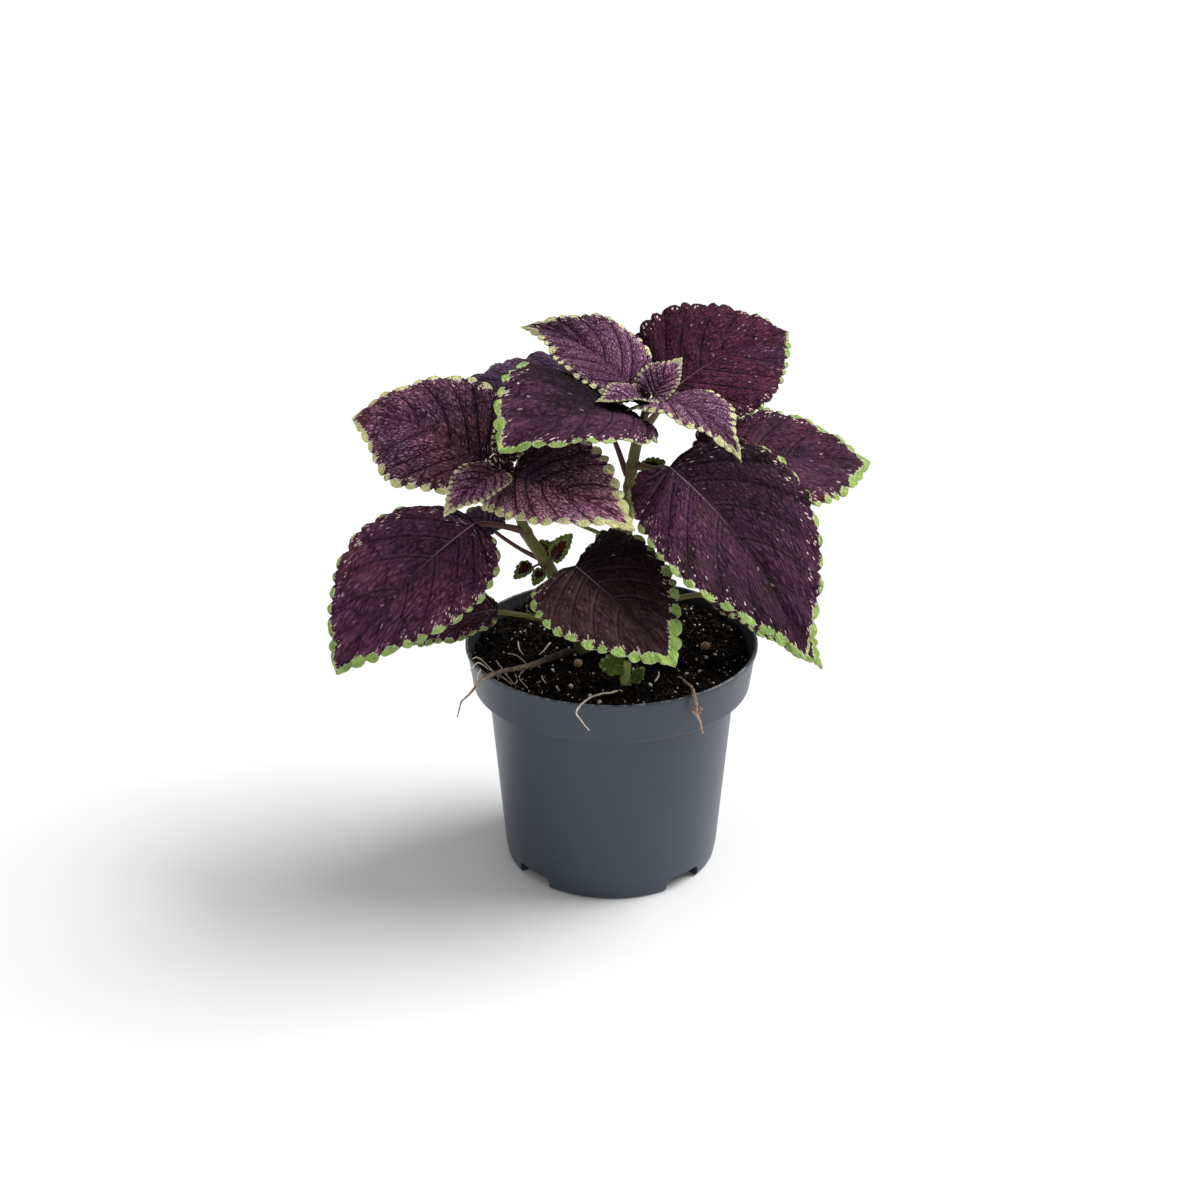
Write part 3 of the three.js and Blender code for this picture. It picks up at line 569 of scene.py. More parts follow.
LEAVES = {
    "leaf_apex_right": dict(
        node=(14, 3, 198.2), base=(16, 4.5, 201.5), tip=(27.5, 12, 215), width=0.82, roll=25, fold=20,
        lobe=(0.2, 0.12), full=(1.25, 1), wide=(0.8, 1), taper=0.35, stalk=0.6, look="young",
        tone=(-0.1, 0.2, 0), light=(0.7, 1.8, 1.6, 1.9), fine=1.8,
    ),
    "leaf_apex_left": dict(
        node=(13.8, 3, 197.8), base=(12, 0, 201), tip=(-6.5, -19, 207.5), width=0.72, roll=-11, fold=23,
        arch=1, lobe=(0.12, 0.1), full=(1, 0.95), wide=(1, 0.75), taper=0.5, stalk=0.6, look="young",
        teeth=16, tone=(-0.3, 0.2, -0.2), light=(0.6, 0.4, 1, 1), fine=1.8,
    ),
    "leaf_top_left": dict(
        node=(13.5, 3, 195.5), base=(8, 8, 203), tip=(-36.5, 24, 225), width=0.74, roll=-24, fold=13,
        open=(-10, -10), arch=4, sway=3, lobe=(0.1, 0.1), full=(0.95, 0.87), taper=0.45, hook=2, stalk=1,
        look="young", teeth=16, green=(-0.3, -0.8), tone=(-0.2, -0.15, -0.1), light=(0.5, 0.8, 1.5, -0.4),
        fine=1.4,
    ),
    "leaf_top_front": dict(
        node=(13.5, 3, 195), base=(18, 0, 199.5), tip=(49.5, -30, 187), width=0.66, fold=8, arch=8,
        lobe=(0.04, 0.24), full=(0.95, 1), taper=0.5, stalk=0.9, look="young", teeth=17,
        tone=(-0.2, 0.05, -0.1), light=(1.2, 0.8, 1.2, 0.3), fine=1.6,
    ),
    "leaf_back_right": dict(
        node=(13, 4, 188.5), base=(22, 12, 200), tip=(73, 56, 211.5), width=0.82, roll=34, fold=6, arch=4,
        sway=-2, full=(1.03, 1), wide=(0.85, 1), stalk=1.4, rise=-1, look="wrinkled", teeth=16,
        green=(-2.6, -1.2), tone=(0.12, 0.05, 0), light=(-0.9, 0, -0.1, 0.1), fine=1.2,
    ),
    "leaf_front_left": dict(
        node=(11, 4, 187), base=(11.2, -4, 194.5), tip=(-42, -50, 198.5), width=0.84, roll=-14, fold=5,
        open=(16, 24), arch=10, lobe=(0, 0.15), full=(0.83, 1.1), wide=(1.1, 1.3), stalk=1.4,
        green=(-0.3, -0.3), tone=(-0.25, 0, -0.2), light=(0.3, 0.2, -2.4, 0.6),
    ),
    "leaf_back_left": dict(
        node=(6, 5, 168), base=(-5, 26, 184.5), tip=(-63.5, 64, 186.5), width=0.8, roll=-18, fold=4, arch=7,
        full=(1, 0.85), stalk=1, rise=4, tint=0.9, look="shaded", teeth=10, green=(-3, -3),
        light=(-0.3, -0.2, -0.3, 1.3),
    ),
    "leaf_right_large": dict(
        node=(10, 5, 172), base=(22.5, -9, 177), tip=(74.5, -58, 116.5), width=0.76, roll=19, fold=8,
        open=(0, 30), arch=5, sway=-4.2, lobe=(0, 0.118), full=(0.965, 0.885), wide=(0.92, 1.145),
        taper=0.16, stalk=1.3, rise=-0.5, green=(-1.4, 0), tone=(-0.25, -0.1, 0.08),
        light=(-0.4, 0.5, 0.8, -0.4),
    ),
    "leaf_node_small": dict(
        node=(10.5, 4.5, 174), base=(12, 3, 171), tip=(21.5, 3, 174.6), width=0.8, roll=35, look="shoot",
        slot="shaded_blade", teeth=6, tone=(0, -0.2, 0.2), light=(-0.4, -0.4, -0.4, -0.4),
    ),
    "leaf_right_back": dict(
        node=(8.5, 5.4, 163), base=(40.5, 12, 172), tip=(107.5, 40, 160), width=0.82, roll=28, fold=5,
        open=(0, -30), arch=2, lobe=(0.13, 0.1), full=(0.81, 0.95), wide=(1.25, 1), stalk=1.5, rise=1,
        green=(0.2, 0.2), tone=(-0.05, -0.2, 0), light=(0.3, 0.2, 0.8, 0.5),
    ),
    "leaf_inner_hidden": dict(
        node=(4.2, 6.5, 137.5), base=(-16, 4, 149.7), tip=(-38, 26, 162), width=0.75, arch=3, stalk=0.9,
        tint=0, look="shaded", teeth=10,
    ),
    "leaf_right_base": dict(
        node=(1, 8, 101), base=(40, 6, 116.5), tip=(85, -20, 94.5), width=0.76, fold=8, arch=3,
        full=(1, 0.55), stalk=1.3, rise=3, tint=0, green=(0.8, 0.8), light=(-0.3, -0.3, -0.4, -0.2),
    ),
    "leaf_left_base": dict(
        node=(1, 8, 100), base=(-46.5, -2, 112), tip=(-83.5, -4, 97), width=0.8, roll=-12, fold=5, arch=3,
        lobe=(0, 0), full=(0.95, 0.95), stalk=1.2, rise=-1, tint=0, teeth=10, green=(1, 1),
        light=(0, 0.3, 0.2, 0.3),
    ),
    "bud_leaf_right_back": dict(
        node=(13.2, 3.2, 198), base=(12.2, 2.2, 200.6), tip=(8.8, 3.4, 205.6), width=1.1, roll=-50,
        stalk=0.4, look="young", teeth=5, green=(-4, -4), light=(0.3, 0.3, 0.3, 0.3),
    ),
    "bud_leaf_right_front": dict(
        node=(14.4, 2.2, 198.2), base=(13.4, 1, 200.2), tip=(15.2, 0, 204.4), width=1.3, roll=40, stalk=0.4,
        look="young", teeth=5, green=(-4, -4),
    ),
    "bud_leaf_left_back": dict(
        node=(-42.5, -7.7, 175), base=(-42.8, -8, 175.4), tip=(-50, -6.5, 178.8), width=1.15, roll=-60,
        fold=8, stalk=0.4, look="young", teeth=5, green=(-4, -4), light=(-0.8, -0.8, -0.8, -0.8),
    ),
    "bud_leaf_left_front": dict(
        node=(-41.5, -8.4, 175), base=(-41.4, -9, 174.6), tip=(-38.9, -9.4, 179.4), width=1.25, roll=60,
        fold=8, stalk=0.4, look="young", teeth=5, green=(-4, -4), light=(-0.8, -0.8, -0.8, -0.8),
    ),
    "leaf_left_small": dict(
        node=(-41.8, -8, 174.5), base=(-44, -14, 177), tip=(-64.2, -39, 168.6), width=0.62, roll=-14,
        fold=12, arch=2, taper=0.3, stalk=0.6, look="young", tone=(0, 0.1, 0), light=(1.4, 1.2, 0.1, 2),
        fine=1.4,
    ),
    "leaf_left_back": dict(
        node=(-41.8, -7.9, 174.5), base=(-41, -3, 177), tip=(-38, 14, 195.5), width=0.6, fold=30, arch=1,
        stalk=0.6, look="young", teeth=13, green=(-1, -1), light=(-1.2, -0.8, -1.2, -1),
    ),
    "leaf_left_upper": dict(
        node=(-40.5, -7.4, 170.5), base=(-50, 4, 174.5), tip=(-106.3, 24, 185), width=0.9, roll=-42,
        fold=-4, open=(-35, -35), arch=5, sway=4, skew=0.4, lobe=(0.169, 0.046), full=(0.945, 0.97),
        wide=(1.3, 0.88), hook=1.5, stalk=1.1, look="young", slot="blade", teeth=14, green=(-0.3, -0.9),
        tone=(0, 0, 0.03), light=(-0.2, 0.7, -0.4, 0.5),
    ),
    "leaf_left_inner": dict(
        node=(-40.5, -7.4, 170.5), base=(-39.5, -10, 173.5), tip=(9, -46, 166), width=0.73, roll=26,
        open=(20, 20), arch=4, sway=-1, lobe=(0.12, 0.17), full=(1.1, 0.97), wide=(0.78, 1), taper=0.25,
        stalk=1, look="young", green=(0.5, 0.7), tone=(0.1, 0.25, 0), light=(-1.7, 1.2, 1, 1.4),
    ),
    "leaf_left_lower": dict(
        node=(-33, -5, 147.5), base=(-53.5, -16, 156), tip=(-107.2, -50, 106.2), width=0.75, roll=-26,
        fold=3, arch=5, sway=2, lobe=(0.03, 0), full=(0.935, 0.975), wide=(0.95, 1.24), taper=0.12,
        stalk=1.25, rise=1, tint=1, green=(0, -0.9), tone=(0, 0.1, 0), light=(0.4, 0.6, 0.3, 0.6),
    ),
    "leaf_left_shaded": dict(
        node=(-27, -3, 134), base=(-47, 6, 143.5), tip=(-59, 22, 146.5), width=0.8, roll=-20, arch=1,
        stalk=0.9, rise=-1, tint=1, look="shaded", teeth=10, light=(1.2, 1.3, 1.3, 1.2),
    ),
    "leaf_front_centre": dict(
        node=(-21.5, -1, 122), base=(-14.5, -20, 139.5), tip=(24.5, -70, 120.5), width=0.87, roll=18,
        fold=3, arch=3, lobe=(0.184, 0.04), full=(0.95, 0.97), wide=(0.8, 0.9), stalk=1.4, rise=1, tint=0,
        green=(1.2, 1.3), tone=(-0.3, -0.25, 0.4), light=(-0.6, 0.6, 1.3, 0.6),
    ),
    "leaf_shaded_base": dict(
        node=(-18, 0.3, 111.5), base=(-28.5, 5.5, 113.5), tip=(-34.5, 6, 106), width=1, roll=-65, fold=5,
        rise=1, look="shaded", teeth=7,
    ),
    "shoot_leaf_front": dict(
        node=(-27, -3, 134), base=(-23.4, -7, 137), tip=(-15.5, -10, 149), width=0.6, roll=65, fold=15,
        look="shoot", teeth=8, light=(0.4, 0.4, 0.4, 0.4),
    ),
    "shoot_leaf_back": dict(
        node=(-27.5, -3.2, 135.5), base=(-23.8, -4, 136.5), tip=(-29, -1, 142.5), width=0.9, roll=-50,
        fold=15, look="shoot", slot="shaded_blade", teeth=6, light=(0.4, 0.4, 0.4, 0.4),
    ),
    "shoot_leaf_left": dict(
        node=(-26.5, -2.8, 133), base=(-32, -5.5, 133), tip=(-39.5, -8, 128.5), width=1.35, rise=0.5,
        look="shoot", slot="shaded_blade", teeth=6,
    ),
    "shoot_leaf_low": dict(
        node=(-26, -2.6, 132), base=(-27.5, -7.5, 132), tip=(-31.5, -10.5, 126.5), width=1.1, rise=0.5,
        look="shoot", teeth=6,
    ),
    "sprout_leaf_left": dict(
        node=(5.6, -26.2, 96), base=(4.6, -26.5, 98.6), tip=(-5, -24, 98.5), width=1.1, roll=-35, fold=15,
        tint=0, look="sprout", teeth=5,
    ),
    "sprout_leaf_right": dict(
        node=(6.5, -25.5, 100), base=(8.5, -25.5, 101.5), tip=(15, -22, 103), width=0.8, roll=10, fold=15,
        tint=0, look="sprout", teeth=5,
    ),
    "sprout_leaf_low": dict(
        node=(5.8, -27, 91.5), base=(9, -28, 92.5), tip=(13, -27, 98.5), width=0.75, roll=40, fold=15,
        tint=0, look="sprout", teeth=5,
    ),
}


class Leaf:
    """One leaf's midrib curve and its folded blade, as in the frame. Lengths are in millimetres."""

    def __init__(self, name, settings):
        self.name = name
        for key, value in {**LEAF_DEFAULTS, **settings}.items():
            setattr(self, key, value)
        self.style = LOOKS[self.look]
        self.start = np.array(self.base, float)
        self.chord = np.array(self.tip, float) - self.start
        along = unit(self.chord)
        up = unit(np.array((0.0, 0.0, 1.0)) - along * along[2])
        side = np.cross(along, up)
        roll = math.radians(self.roll)
        self.normal = up * math.cos(roll) + side * math.sin(roll)
        self.side = side * math.cos(roll) - up * math.sin(roll)
        self.length = np.linalg.norm(np.diff(self.midrib(np.linspace(0, 1, 25)), axis=0), axis=1).sum()
        self.half_width = self.width * self.length / 2
        self.relief_scale = min(1.0, self.length / FULL_RELIEF_LENGTH)
        self.seed = sum(map(ord, name))
        self.random = np.random.default_rng(self.seed)

    def midrib(self, t):
        t = np.asarray(t, float)[..., None]
        bulge = 4 * t * (1 - t) * (1 + self.skew * (2 * t - 1))
        return self.start + self.chord * t + bulge * (self.normal * self.arch + self.side * self.sway)

    def place(self, along, across, lift):
        """The point that far along the midrib, across it, and above the folded blade."""
        along, across, lift = np.broadcast_arrays(along, across, lift)
        t = np.clip(along / self.length, 0, 1)
        direction = unit(self.midrib(t + 1e-3) - self.midrib(t - 1e-3))
        normal = unit(self.normal - direction * (direction @ self.normal)[..., None])
        side = np.cross(direction, normal)
        fold = np.radians(self.fold + np.where(across < 0, *self.open) * (t - 0.5))
        crease = 0.03 * self.half_width
        rise = np.sqrt(across ** 2 + crease ** 2) - crease
        past = along - t * self.length
        return (
            self.midrib(t) + direction * past[..., None] + side * (across * np.cos(fold))[..., None]
            + normal * (rise * np.sin(fold) + lift)[..., None]
        )

    def outline(self, row, half):
        """How far along and across the edge of one half lies, at shares of the way from base to tip."""
        reach = 2 * row ** 2 - row ** 3
        shifted = reach ** self.wide[half]
        full = (shifted / WIDEST) ** BASE_FULLNESS * ((1 - shifted) / (1 - WIDEST)) ** TIP_FULLNESS
        full = full * (1 - self.taper * smoothstep(0.5, 0.95, reach))
        back = self.lobe[half] * np.sin(np.pi * np.minimum(row / LOBE_END, 1))
        return (reach - back) * self.length, full * self.half_width * self.full[half]


def vein_start(row):
    """Where the line that ends at the margin's row leaves the midrib, as a share of its length."""
    past_fan = np.maximum(0, (row - FAN_SHARE) / (1 - FAN_SHARE))
    return FAN_SPREAD * row + (1 - FAN_SPREAD) * past_fan ** VEIN_SLANT


def slope(field, along, across):
    """How fast a field on the grid changes per millimetre of blade."""
    a_row, a_col = np.gradient(along)
    c_row, c_col = np.gradient(across)
    f_row, f_col = np.gradient(field)
    area = a_row * c_col - a_col * c_row
    area = np.where(np.abs(area) < 1e-6, 1e-6, area)
    return np.hypot((f_row * c_col - f_col * c_row) / area, (a_row * f_col - a_col * f_row) / area)


def leaf_half(leaf, rows, half, columns):
    """One half of the blade as a flat grid whose rows run as side veins do. Column 0 is the midrib."""
    sign = -1 if half == 0 else 1
    v = (1 - (1 - np.linspace(0, 1, columns + 1)) ** 1.5)[None, :]
    edge_along, edge_across = leaf.outline(rows, half)
    arc = arc_lengths(edge_along, edge_across)
    margin = arc / arc[-1]
    tangent = unit(np.stack([np.gradient(edge_along), np.gradient(edge_across)], axis=-1))
    start = vein_start(rows) * leaf.length
    angle = np.radians(np.interp(rows, (0, 0.5), (FAN_ANGLE, VEIN_ANGLE)))
    bow_across = VEIN_ARCH * edge_across
    bow_along = start + bow_across / np.tan(angle)
    first, middle, last = (1 - v) ** 2, 2 * v * (1 - v), v ** 2
    along = first * start[:, None] + middle * bow_along[:, None] + last * edge_along[:, None]
    across = middle * bow_across[:, None] + last * edge_across[:, None]
    run = np.hypot(np.diff(along, axis=1), np.diff(across, axis=1))
    outward = np.concatenate([np.zeros((len(rows), 1)), np.cumsum(run, axis=1)], axis=1)
    gaps = np.hypot(along[..., None] - edge_along, across[..., None] - edge_across)
    nearest = gaps.argmin(axis=-1)

    wobble = leaf.random.normal(0, 0.12, leaf.teeth + 2)
    phase = margin * leaf.teeth + np.interp(margin * leaf.teeth, np.arange(leaf.teeth + 2), wobble)
    spacing = arc[-1] / leaf.teeth
    fade = smoothstep(0.0, 0.07, margin) * (1 - smoothstep(0.9, 0.985, margin))
    sizes = 1 + leaf.random.normal(0, 0.13, leaf.teeth + 3)
    patches = leaf.random.normal(0, 0.5, leaf.teeth + 3)
    numbers = np.arange(leaf.teeth + 3) + 0.5
    crowns = np.abs(np.sin(np.pi * phase)) ** 0.5
    tooth = TOOTH_DEPTH * spacing * np.interp(phase, numbers, sizes) * fade * (crowns - TOOTH_MIDDLE)
    power = np.clip(0.75 * outward[:, -1] / (0.27 * spacing + 1e-6), 1.5, 11)[:, None]
    push = tooth[:, None] * v ** power
    notch = np.abs(2 * (phase % 1) - 1)[nearest]
    along = along - tangent[:, 1:] * push
    across = across + tangent[:, :1] * push

    veins = np.array(VEIN_ROWS) + np.r_[0, leaf.random.normal(0, 0.008, len(VEIN_ROWS) - 1)] + 0.012 * sign
    index = np.broadcast_to(np.interp(rows, veins, np.arange(len(veins)))[:, None], along.shape)
    between = index - np.round(index)
    return {
        "along": along, "across": across * sign, "v": np.broadcast_to(v, along.shape),
        "row": np.broadcast_to(rows[:, None], along.shape), "margin": margin[nearest], "between": between,
        "vein_gap": between / np.maximum(slope(index, along, across), 1e-3),
        "notch": notch, "crown": 1 - notch,
        "beyond": push - gaps.min(axis=-1) + TOOTH_MIDDLE * TOOTH_DEPTH * spacing * fade[:, None],
        "beside": np.broadcast_to(arc[:, None], along.shape), "outward": outward,
        "patch": np.interp(phase, numbers, patches)[nearest],
    }


def relief(leaf, grid):
    """Height of the blade over its folded plane, and how high each place is on its quilt."""
    style, scale = leaf.style, leaf.relief_scale
    v = grid["v"]
    inner = smoothstep(0.0, 0.25, v) * (1 - smoothstep(0.82, 1.0, v))
    groove = np.exp(-(grid["vein_gap"] / (0.75 * scale)) ** 2) * (1 - 0.75 * smoothstep(0.5, 1.0, v))
    rib = np.exp(-(grid["across"] / (0.9 * scale)) ** 2)
    puff = (0.5 - 0.5 * np.cos(2 * np.pi * grid["between"])) * inner
    cell = style["cell"] * scale ** 0.5
    cells = cell_pattern(grid["beside"] / cell + 20, grid["outward"] / (1.7 * cell) + 20, leaf.seed)
    cells = cells * smoothstep(1.0, 7.0, grid["outward"])
    wave = np.sin(2 * np.pi * (grid["beside"] / 17 + leaf.seed % 7 / 7)) * v ** 2
    camber = leaf.camber * leaf.half_width * 4 * v * (1 - v) * np.sin(np.pi * grid["row"])
    tip = smoothstep(0.82, 1.0, grid["along"] / leaf.length)
    height = (
        camber + scale * style["puff"] * puff - scale * style["groove"] * np.maximum(groove, rib)
        + scale * style["quilt"] * cells * (1 - groove) * (1 - rib) + leaf.ripple * wave * scale
        - 0.5 * scale * v ** 9 - leaf.hook * tip ** 2
    )
    quilt = np.clip(0.1 + 0.35 * puff + 0.6 * cells - 0.5 * np.maximum(groove, 0.6 * rib), 0, 1)
    return height, quilt


# What the leaf's skin reads from both sides of the blade.
SKIN_VALUES = (
    "flat", "weave", "shade", "beyond", "green_width", "vein_gap", "rib_gap", "quilt", "row", "rim", "crown",
)


def blade(shell, leaf):
    """Adds the blade, a thin closed shell with the values that its skin reads."""
    large = leaf.length > LARGE_LEAF
    fine = np.linspace(FIRST_ROW, LAST_ROW, 900)
    arc = arc_lengths(*leaf.outline(fine, 1))
    samples = leaf.teeth * (LARGE_TOOTH_ROWS if large else SMALL_TOOTH_ROWS)
    rows = np.interp(np.linspace(0, arc[-1], samples + 1), arc, fine)
    halves = [leaf_half(leaf, rows, half, LARGE_COLUMNS if large else SMALL_COLUMNS) for half in (0, 1)]
    for half in halves:
        half["lift"], half["quilt"] = relief(leaf, half)
    grid = {key: np.concatenate([halves[0][key][:, :0:-1], halves[1][key]], axis=1) for key in halves[0]}
    thin = BLADE_THICKNESS * (1 if large else 0.6) / 2
    sides = [leaf.place(grid["along"], grid["across"], grid["lift"] + lift) for lift in (thin, -thin)]

    row_count, width = grid["lift"].shape
    size = row_count * width
    faces = grid_faces(row_count, width)
    faces += [tuple(i + size for i in face[::-1]) for face in faces]
    ring = [
        *range(width), *range(2 * width - 1, size, width), *range(size - 2, size - width - 1, -1),
        *range(size - 2 * width, 0, -width),
    ]
    faces += [(j, i, i + size, j + size) for i, j in zip(ring, ring[1:] + ring[:1])]

    margin = grid["margin"]
    island = np.sqrt(np.clip(1 - (grid["notch"] * np.interp(margin, *leaf.style["parting"])) ** 2, 0, 1))
    green = np.where(grid["across"] < 0, *leaf.green) + np.interp(margin, *leaf.style["green"])
    green = green + grid["patch"]
    rim = np.ones((row_count, width))
    rim[1:-1, 1:-1] = 0
    # Painted shade and light on each half, base to tip: other leaves' shadows and sides turned from the lamp.
    base_left, tip_left, base_right, tip_right = leaf.light
    reach = smoothstep(0.1, 0.9, grid["along"] / leaf.length)
    side = smoothstep(-0.25, 0.25, grid["across"] / leaf.half_width)
    left, right = base_left + (tip_left - base_left) * reach, base_right + (tip_right - base_right) * reach
    number = np.full(rim.shape, leaf.seed * 0.1)
    grid.update(
        flat=np.stack([grid["along"] * MM, grid["across"] * MM, number], axis=-1),
        weave=np.stack([grid["beside"] * leaf.fine * MM, grid["outward"] * leaf.fine * MM, number], axis=-1),
        shade=np.exp(0.8 * (left + (right - left) * side)), rim=rim, rib_gap=grid["across"],
        green_width=green * island - NOTCH_BARE * (1 - island),
    )
    shell.add(
        sides, faces, tone=np.tile(leaf.tone, (2 * size, 1)), under=np.repeat([0.0, 1.0], size),
        **{name: np.tile(grid[name].reshape(size, -1), (2, 1)).squeeze() for name in SKIN_VALUES},
    )


def leaf_stalk(shell, leaf):
    """The stalk from the stem to the blade, going on as the rib under the blade."""
    joint = np.array(leaf.node, float)
    entry = leaf.place(0.0, 0.0, -leaf.stalk * 0.9 - 0.3)
    bend = (joint + entry) / 2 + (0, 0, leaf.rise)
    dip = leaf.relief_scale * leaf.style["groove"] + BLADE_THICKNESS / 2
    under = [
        leaf.place(share * leaf.length, 0.0, -dip - leaf.stalk * depth) for share, depth in STALK_UNDER_BLADE
    ]
    centres = smooth_path([joint, bend, entry, *under], 36)
    points, faces = tube(centres, leaf.stalk * spread(STALK_TAPER, len(centres)), STALK_SIDES)
    flat = places_round(np.linspace(0, 0.05, len(centres)), STALK_SIDES, 0.01, leaf.seed * 0.1)
    shell.add(points, faces, flat=flat, tint=np.full(len(points), leaf.tint))


def make_leaf(name, settings):
    leaf = Leaf(name, settings)
    shell = Shell()
    blade(shell, leaf)
    blade_faces = len(shell.faces)
    leaf_stalk(shell, leaf)
    piece = shell.piece(name + "_skin", leaf.style["material"], STALK, second_from=blade_faces)
    settle(piece, leaf.slot or leaf.style["slot"], name)


for leaf_name, leaf_settings in LEAVES.items():
    make_leaf(leaf_name, leaf_settings)


# ---- Stems ----
STEM_SIDES = 32
# route and radii: from the soil up. joints: the heights where leaves stand. young: between these heights the
# stem turns brown.
STEMS = {
    "stem_right": dict(
        route=[(0, 8, 78), (1, 8, 102.5), (4, 7, 130), (6.3, 6, 152.5), (7.8, 5, 170), (10.2, 4, 184),
               (14, 3, 198.5)],
        radii=(3, 2.9, 2.7, 2.4, 2.2, 2.1, 1.2), joints=(100.5, 143, 163, 172.5, 188.5, 196),
        young=(180, 188),
    ),
    "stem_left": dict(
        route=[(-9, 3, 78), (-14, 1.5, 100), (-19, 0, 115.5), (-27, -3, 134.5), (-34.4, -5.2, 148),
               (-39.5, -7, 168), (-42, -8, 175.5)],
        radii=(2.8, 2.7, 2.6, 2.5, 2.2, 1.5, 0.9), joints=(111.5, 122, 134, 147.5, 170.5),
        young=(160, 166),
    ),
}


def stem_material():
    """Olive stem, browner at its joints, with fine lengthwise streaks and soft hairs' sheen."""
    s = Shader("stem")
    streak = s.noise(s.stretched(s.vector_attribute("flat"), (60, 900, 1)), 1.0, 4.0)
    blotch = s.noise(s.place(), 160.0, 3.0)
    colour = s.mix(streak, srgb(76, 78, 32), srgb(120, 120, 62))
    colour = s.mix(blotch.step(0.45, 0.75) * 0.7, colour, srgb(84, 58, 38))
    browned = (s.attribute("joint") + (streak - 0.5) * 0.5).step(0.35, 0.9)
    colour = s.mix(browned * 0.75, colour, srgb(88, 60, 44))
    grain = s.noise(s.place(), 1800.0, 3.0)
    normal = s.bump(streak * 0.6 + grain * 0.4, 0.5, 0.00025)
    return s.finish(colour, 0.5 + grain * 0.15, normal, Specular_IOR_Level=0.35, Sheen_Weight=0.15)


STEM = stem_material()


def stem(name, route, radii, joints, young):
    centres = smooth_path(route, 220)
    height = centres[:, 2]
    swelling = sum(np.exp(-((height - joint) / 1.6) ** 2) for joint in joints)
    ring = sum(np.exp(-((height - joint - 2.2) / 0.35) ** 2) for joint in joints)
    radius = spread(radii, len(centres)) * (1 + 0.16 * swelling - 0.05 * ring)
    brown = np.clip(swelling + smoothstep(*young, height), 0, 1)
    shell = Shell()
    shell.add(
        *tube(centres, radius, STEM_SIDES, squareness=0.05),
        flat=places_round(height * MM, STEM_SIDES, 0.02, 0), joint=np.repeat(brown, STEM_SIDES),
    )
    settle(shell.piece(name + "_skin", STEM), "stem", name)


for stem_name, stem_settings in STEMS.items():
    stem(stem_name, **stem_settings)


# ---- Pot ----
def plastic_material():
    """Slate grey satin plastic with faint scuffs, a painted highlight along the rim's top edge and painted
    shade inside the collar.
    """
    s = Shader("pot_plastic")
    place = s.place()
    grain = s.noise(place, 2200.0, 2.0)
    scuff = s.noise(s.stretched(place, (1, 1, 6)), 90.0, 5.0, 0.7).step(0.62, 0.8)
    colour = s.mix(s.noise(place, 30.0, 3.0), srgb(48, 58, 69), srgb(54, 64, 76))
    colour = s.mix(scuff * 0.12, colour, srgb(120, 126, 132))
    height = s.split(place)[2]
    top = POT_HEIGHT * MM
    lean = (RIM_RADIUS - COLLAR_RADIUS) / COLLAR_HEIGHT
    reach = s.from_axis(place) - (height - top) * lean
    # Painted shade on the collar's inner wall, from just under the rim down to the ledge.
    inside = reach.step((RIM_RADIUS - 0.9) * MM, (RIM_RADIUS - 1.0) * MM)
    blot = s.noise(place, 260.0, 4.0, 0.7)
    painted_inner_shade = inside * (height - blot * 0.006).step(top - 0.0012, top - 0.0034)
    painted_inner_shade = painted_inner_shade * height.step(top - COLLAR_HEIGHT * MM, top - (COLLAR_HEIGHT - 2) * MM)
    colour = s.mix(painted_inner_shade * 0.92, colour, srgb(15, 16, 15))
    # A painted highlight along the rim's top edge, broken by noise.
    painted_rim_highlight = height.step(top - 0.0004, top) * s.noise(place, 320.0, 4.0, 0.7).step(0.42, 0.62)
    colour = s.mix(painted_rim_highlight * 0.55, colour, srgb(170, 176, 180))
    roughness = 0.34 + grain * 0.08 + scuff * 0.12 + painted_inner_shade * 0.3
    return s.finish(colour, roughness, s.bump(grain, 0.12, 0.0001), Specular_IOR_Level=0.5)


def circle(radius, height, sides):
    angle = np.arange(sides) * 2 * math.pi / sides
    return np.stack([radius * np.cos(angle), radius * np.sin(angle), np.full(sides, height)], axis=-1)


def turned(outline, sides):
    """A closed solid turned round the pot's axis from an outline that starts and ends on it."""
    rings = [circle(radius, height, sides) for radius, height in outline[1:-1]]
    faces = grid_faces(len(rings), sides, wrap=True)
    last = (len(rings) - 1) * sides
    pole = len(rings) * sides
    for j in range(sides):
        k = (j + 1) % sides
        faces += [(k, j, pole), (last + j, last + k, pole + 1)]
    return np.vstack([*rings, (0, 0, outline[0][1]), (0, 0, outline[-1][1])]), faces


def rounded(corner, before, after, radius, steps=6):
    """Points of a rounded corner of an outline, between its neighbours."""
    corner, before, after = (np.array(p, float) for p in (corner, before, after))
    first = corner + unit(before - corner) * radius
    last = corner + unit(after - corner) * radius
    t = np.linspace(0, 1, steps)[:, None]
    return [tuple(p) for p in (1 - t) ** 2 * first + 2 * t * (1 - t) * corner + t ** 2 * last]


def notch_arch():
    """Half of a drainage notch's outline, from its top down to the pot's foot."""
    arc = np.linspace(math.pi / 2, 0, 8)
    side = NOTCH_WIDTH / 2 - NOTCH_CORNER
    return [(side + NOTCH_CORNER * math.sin(a), NOTCH_HEIGHT - NOTCH_CORNER * (1 - math.cos(a))) for a in arc]


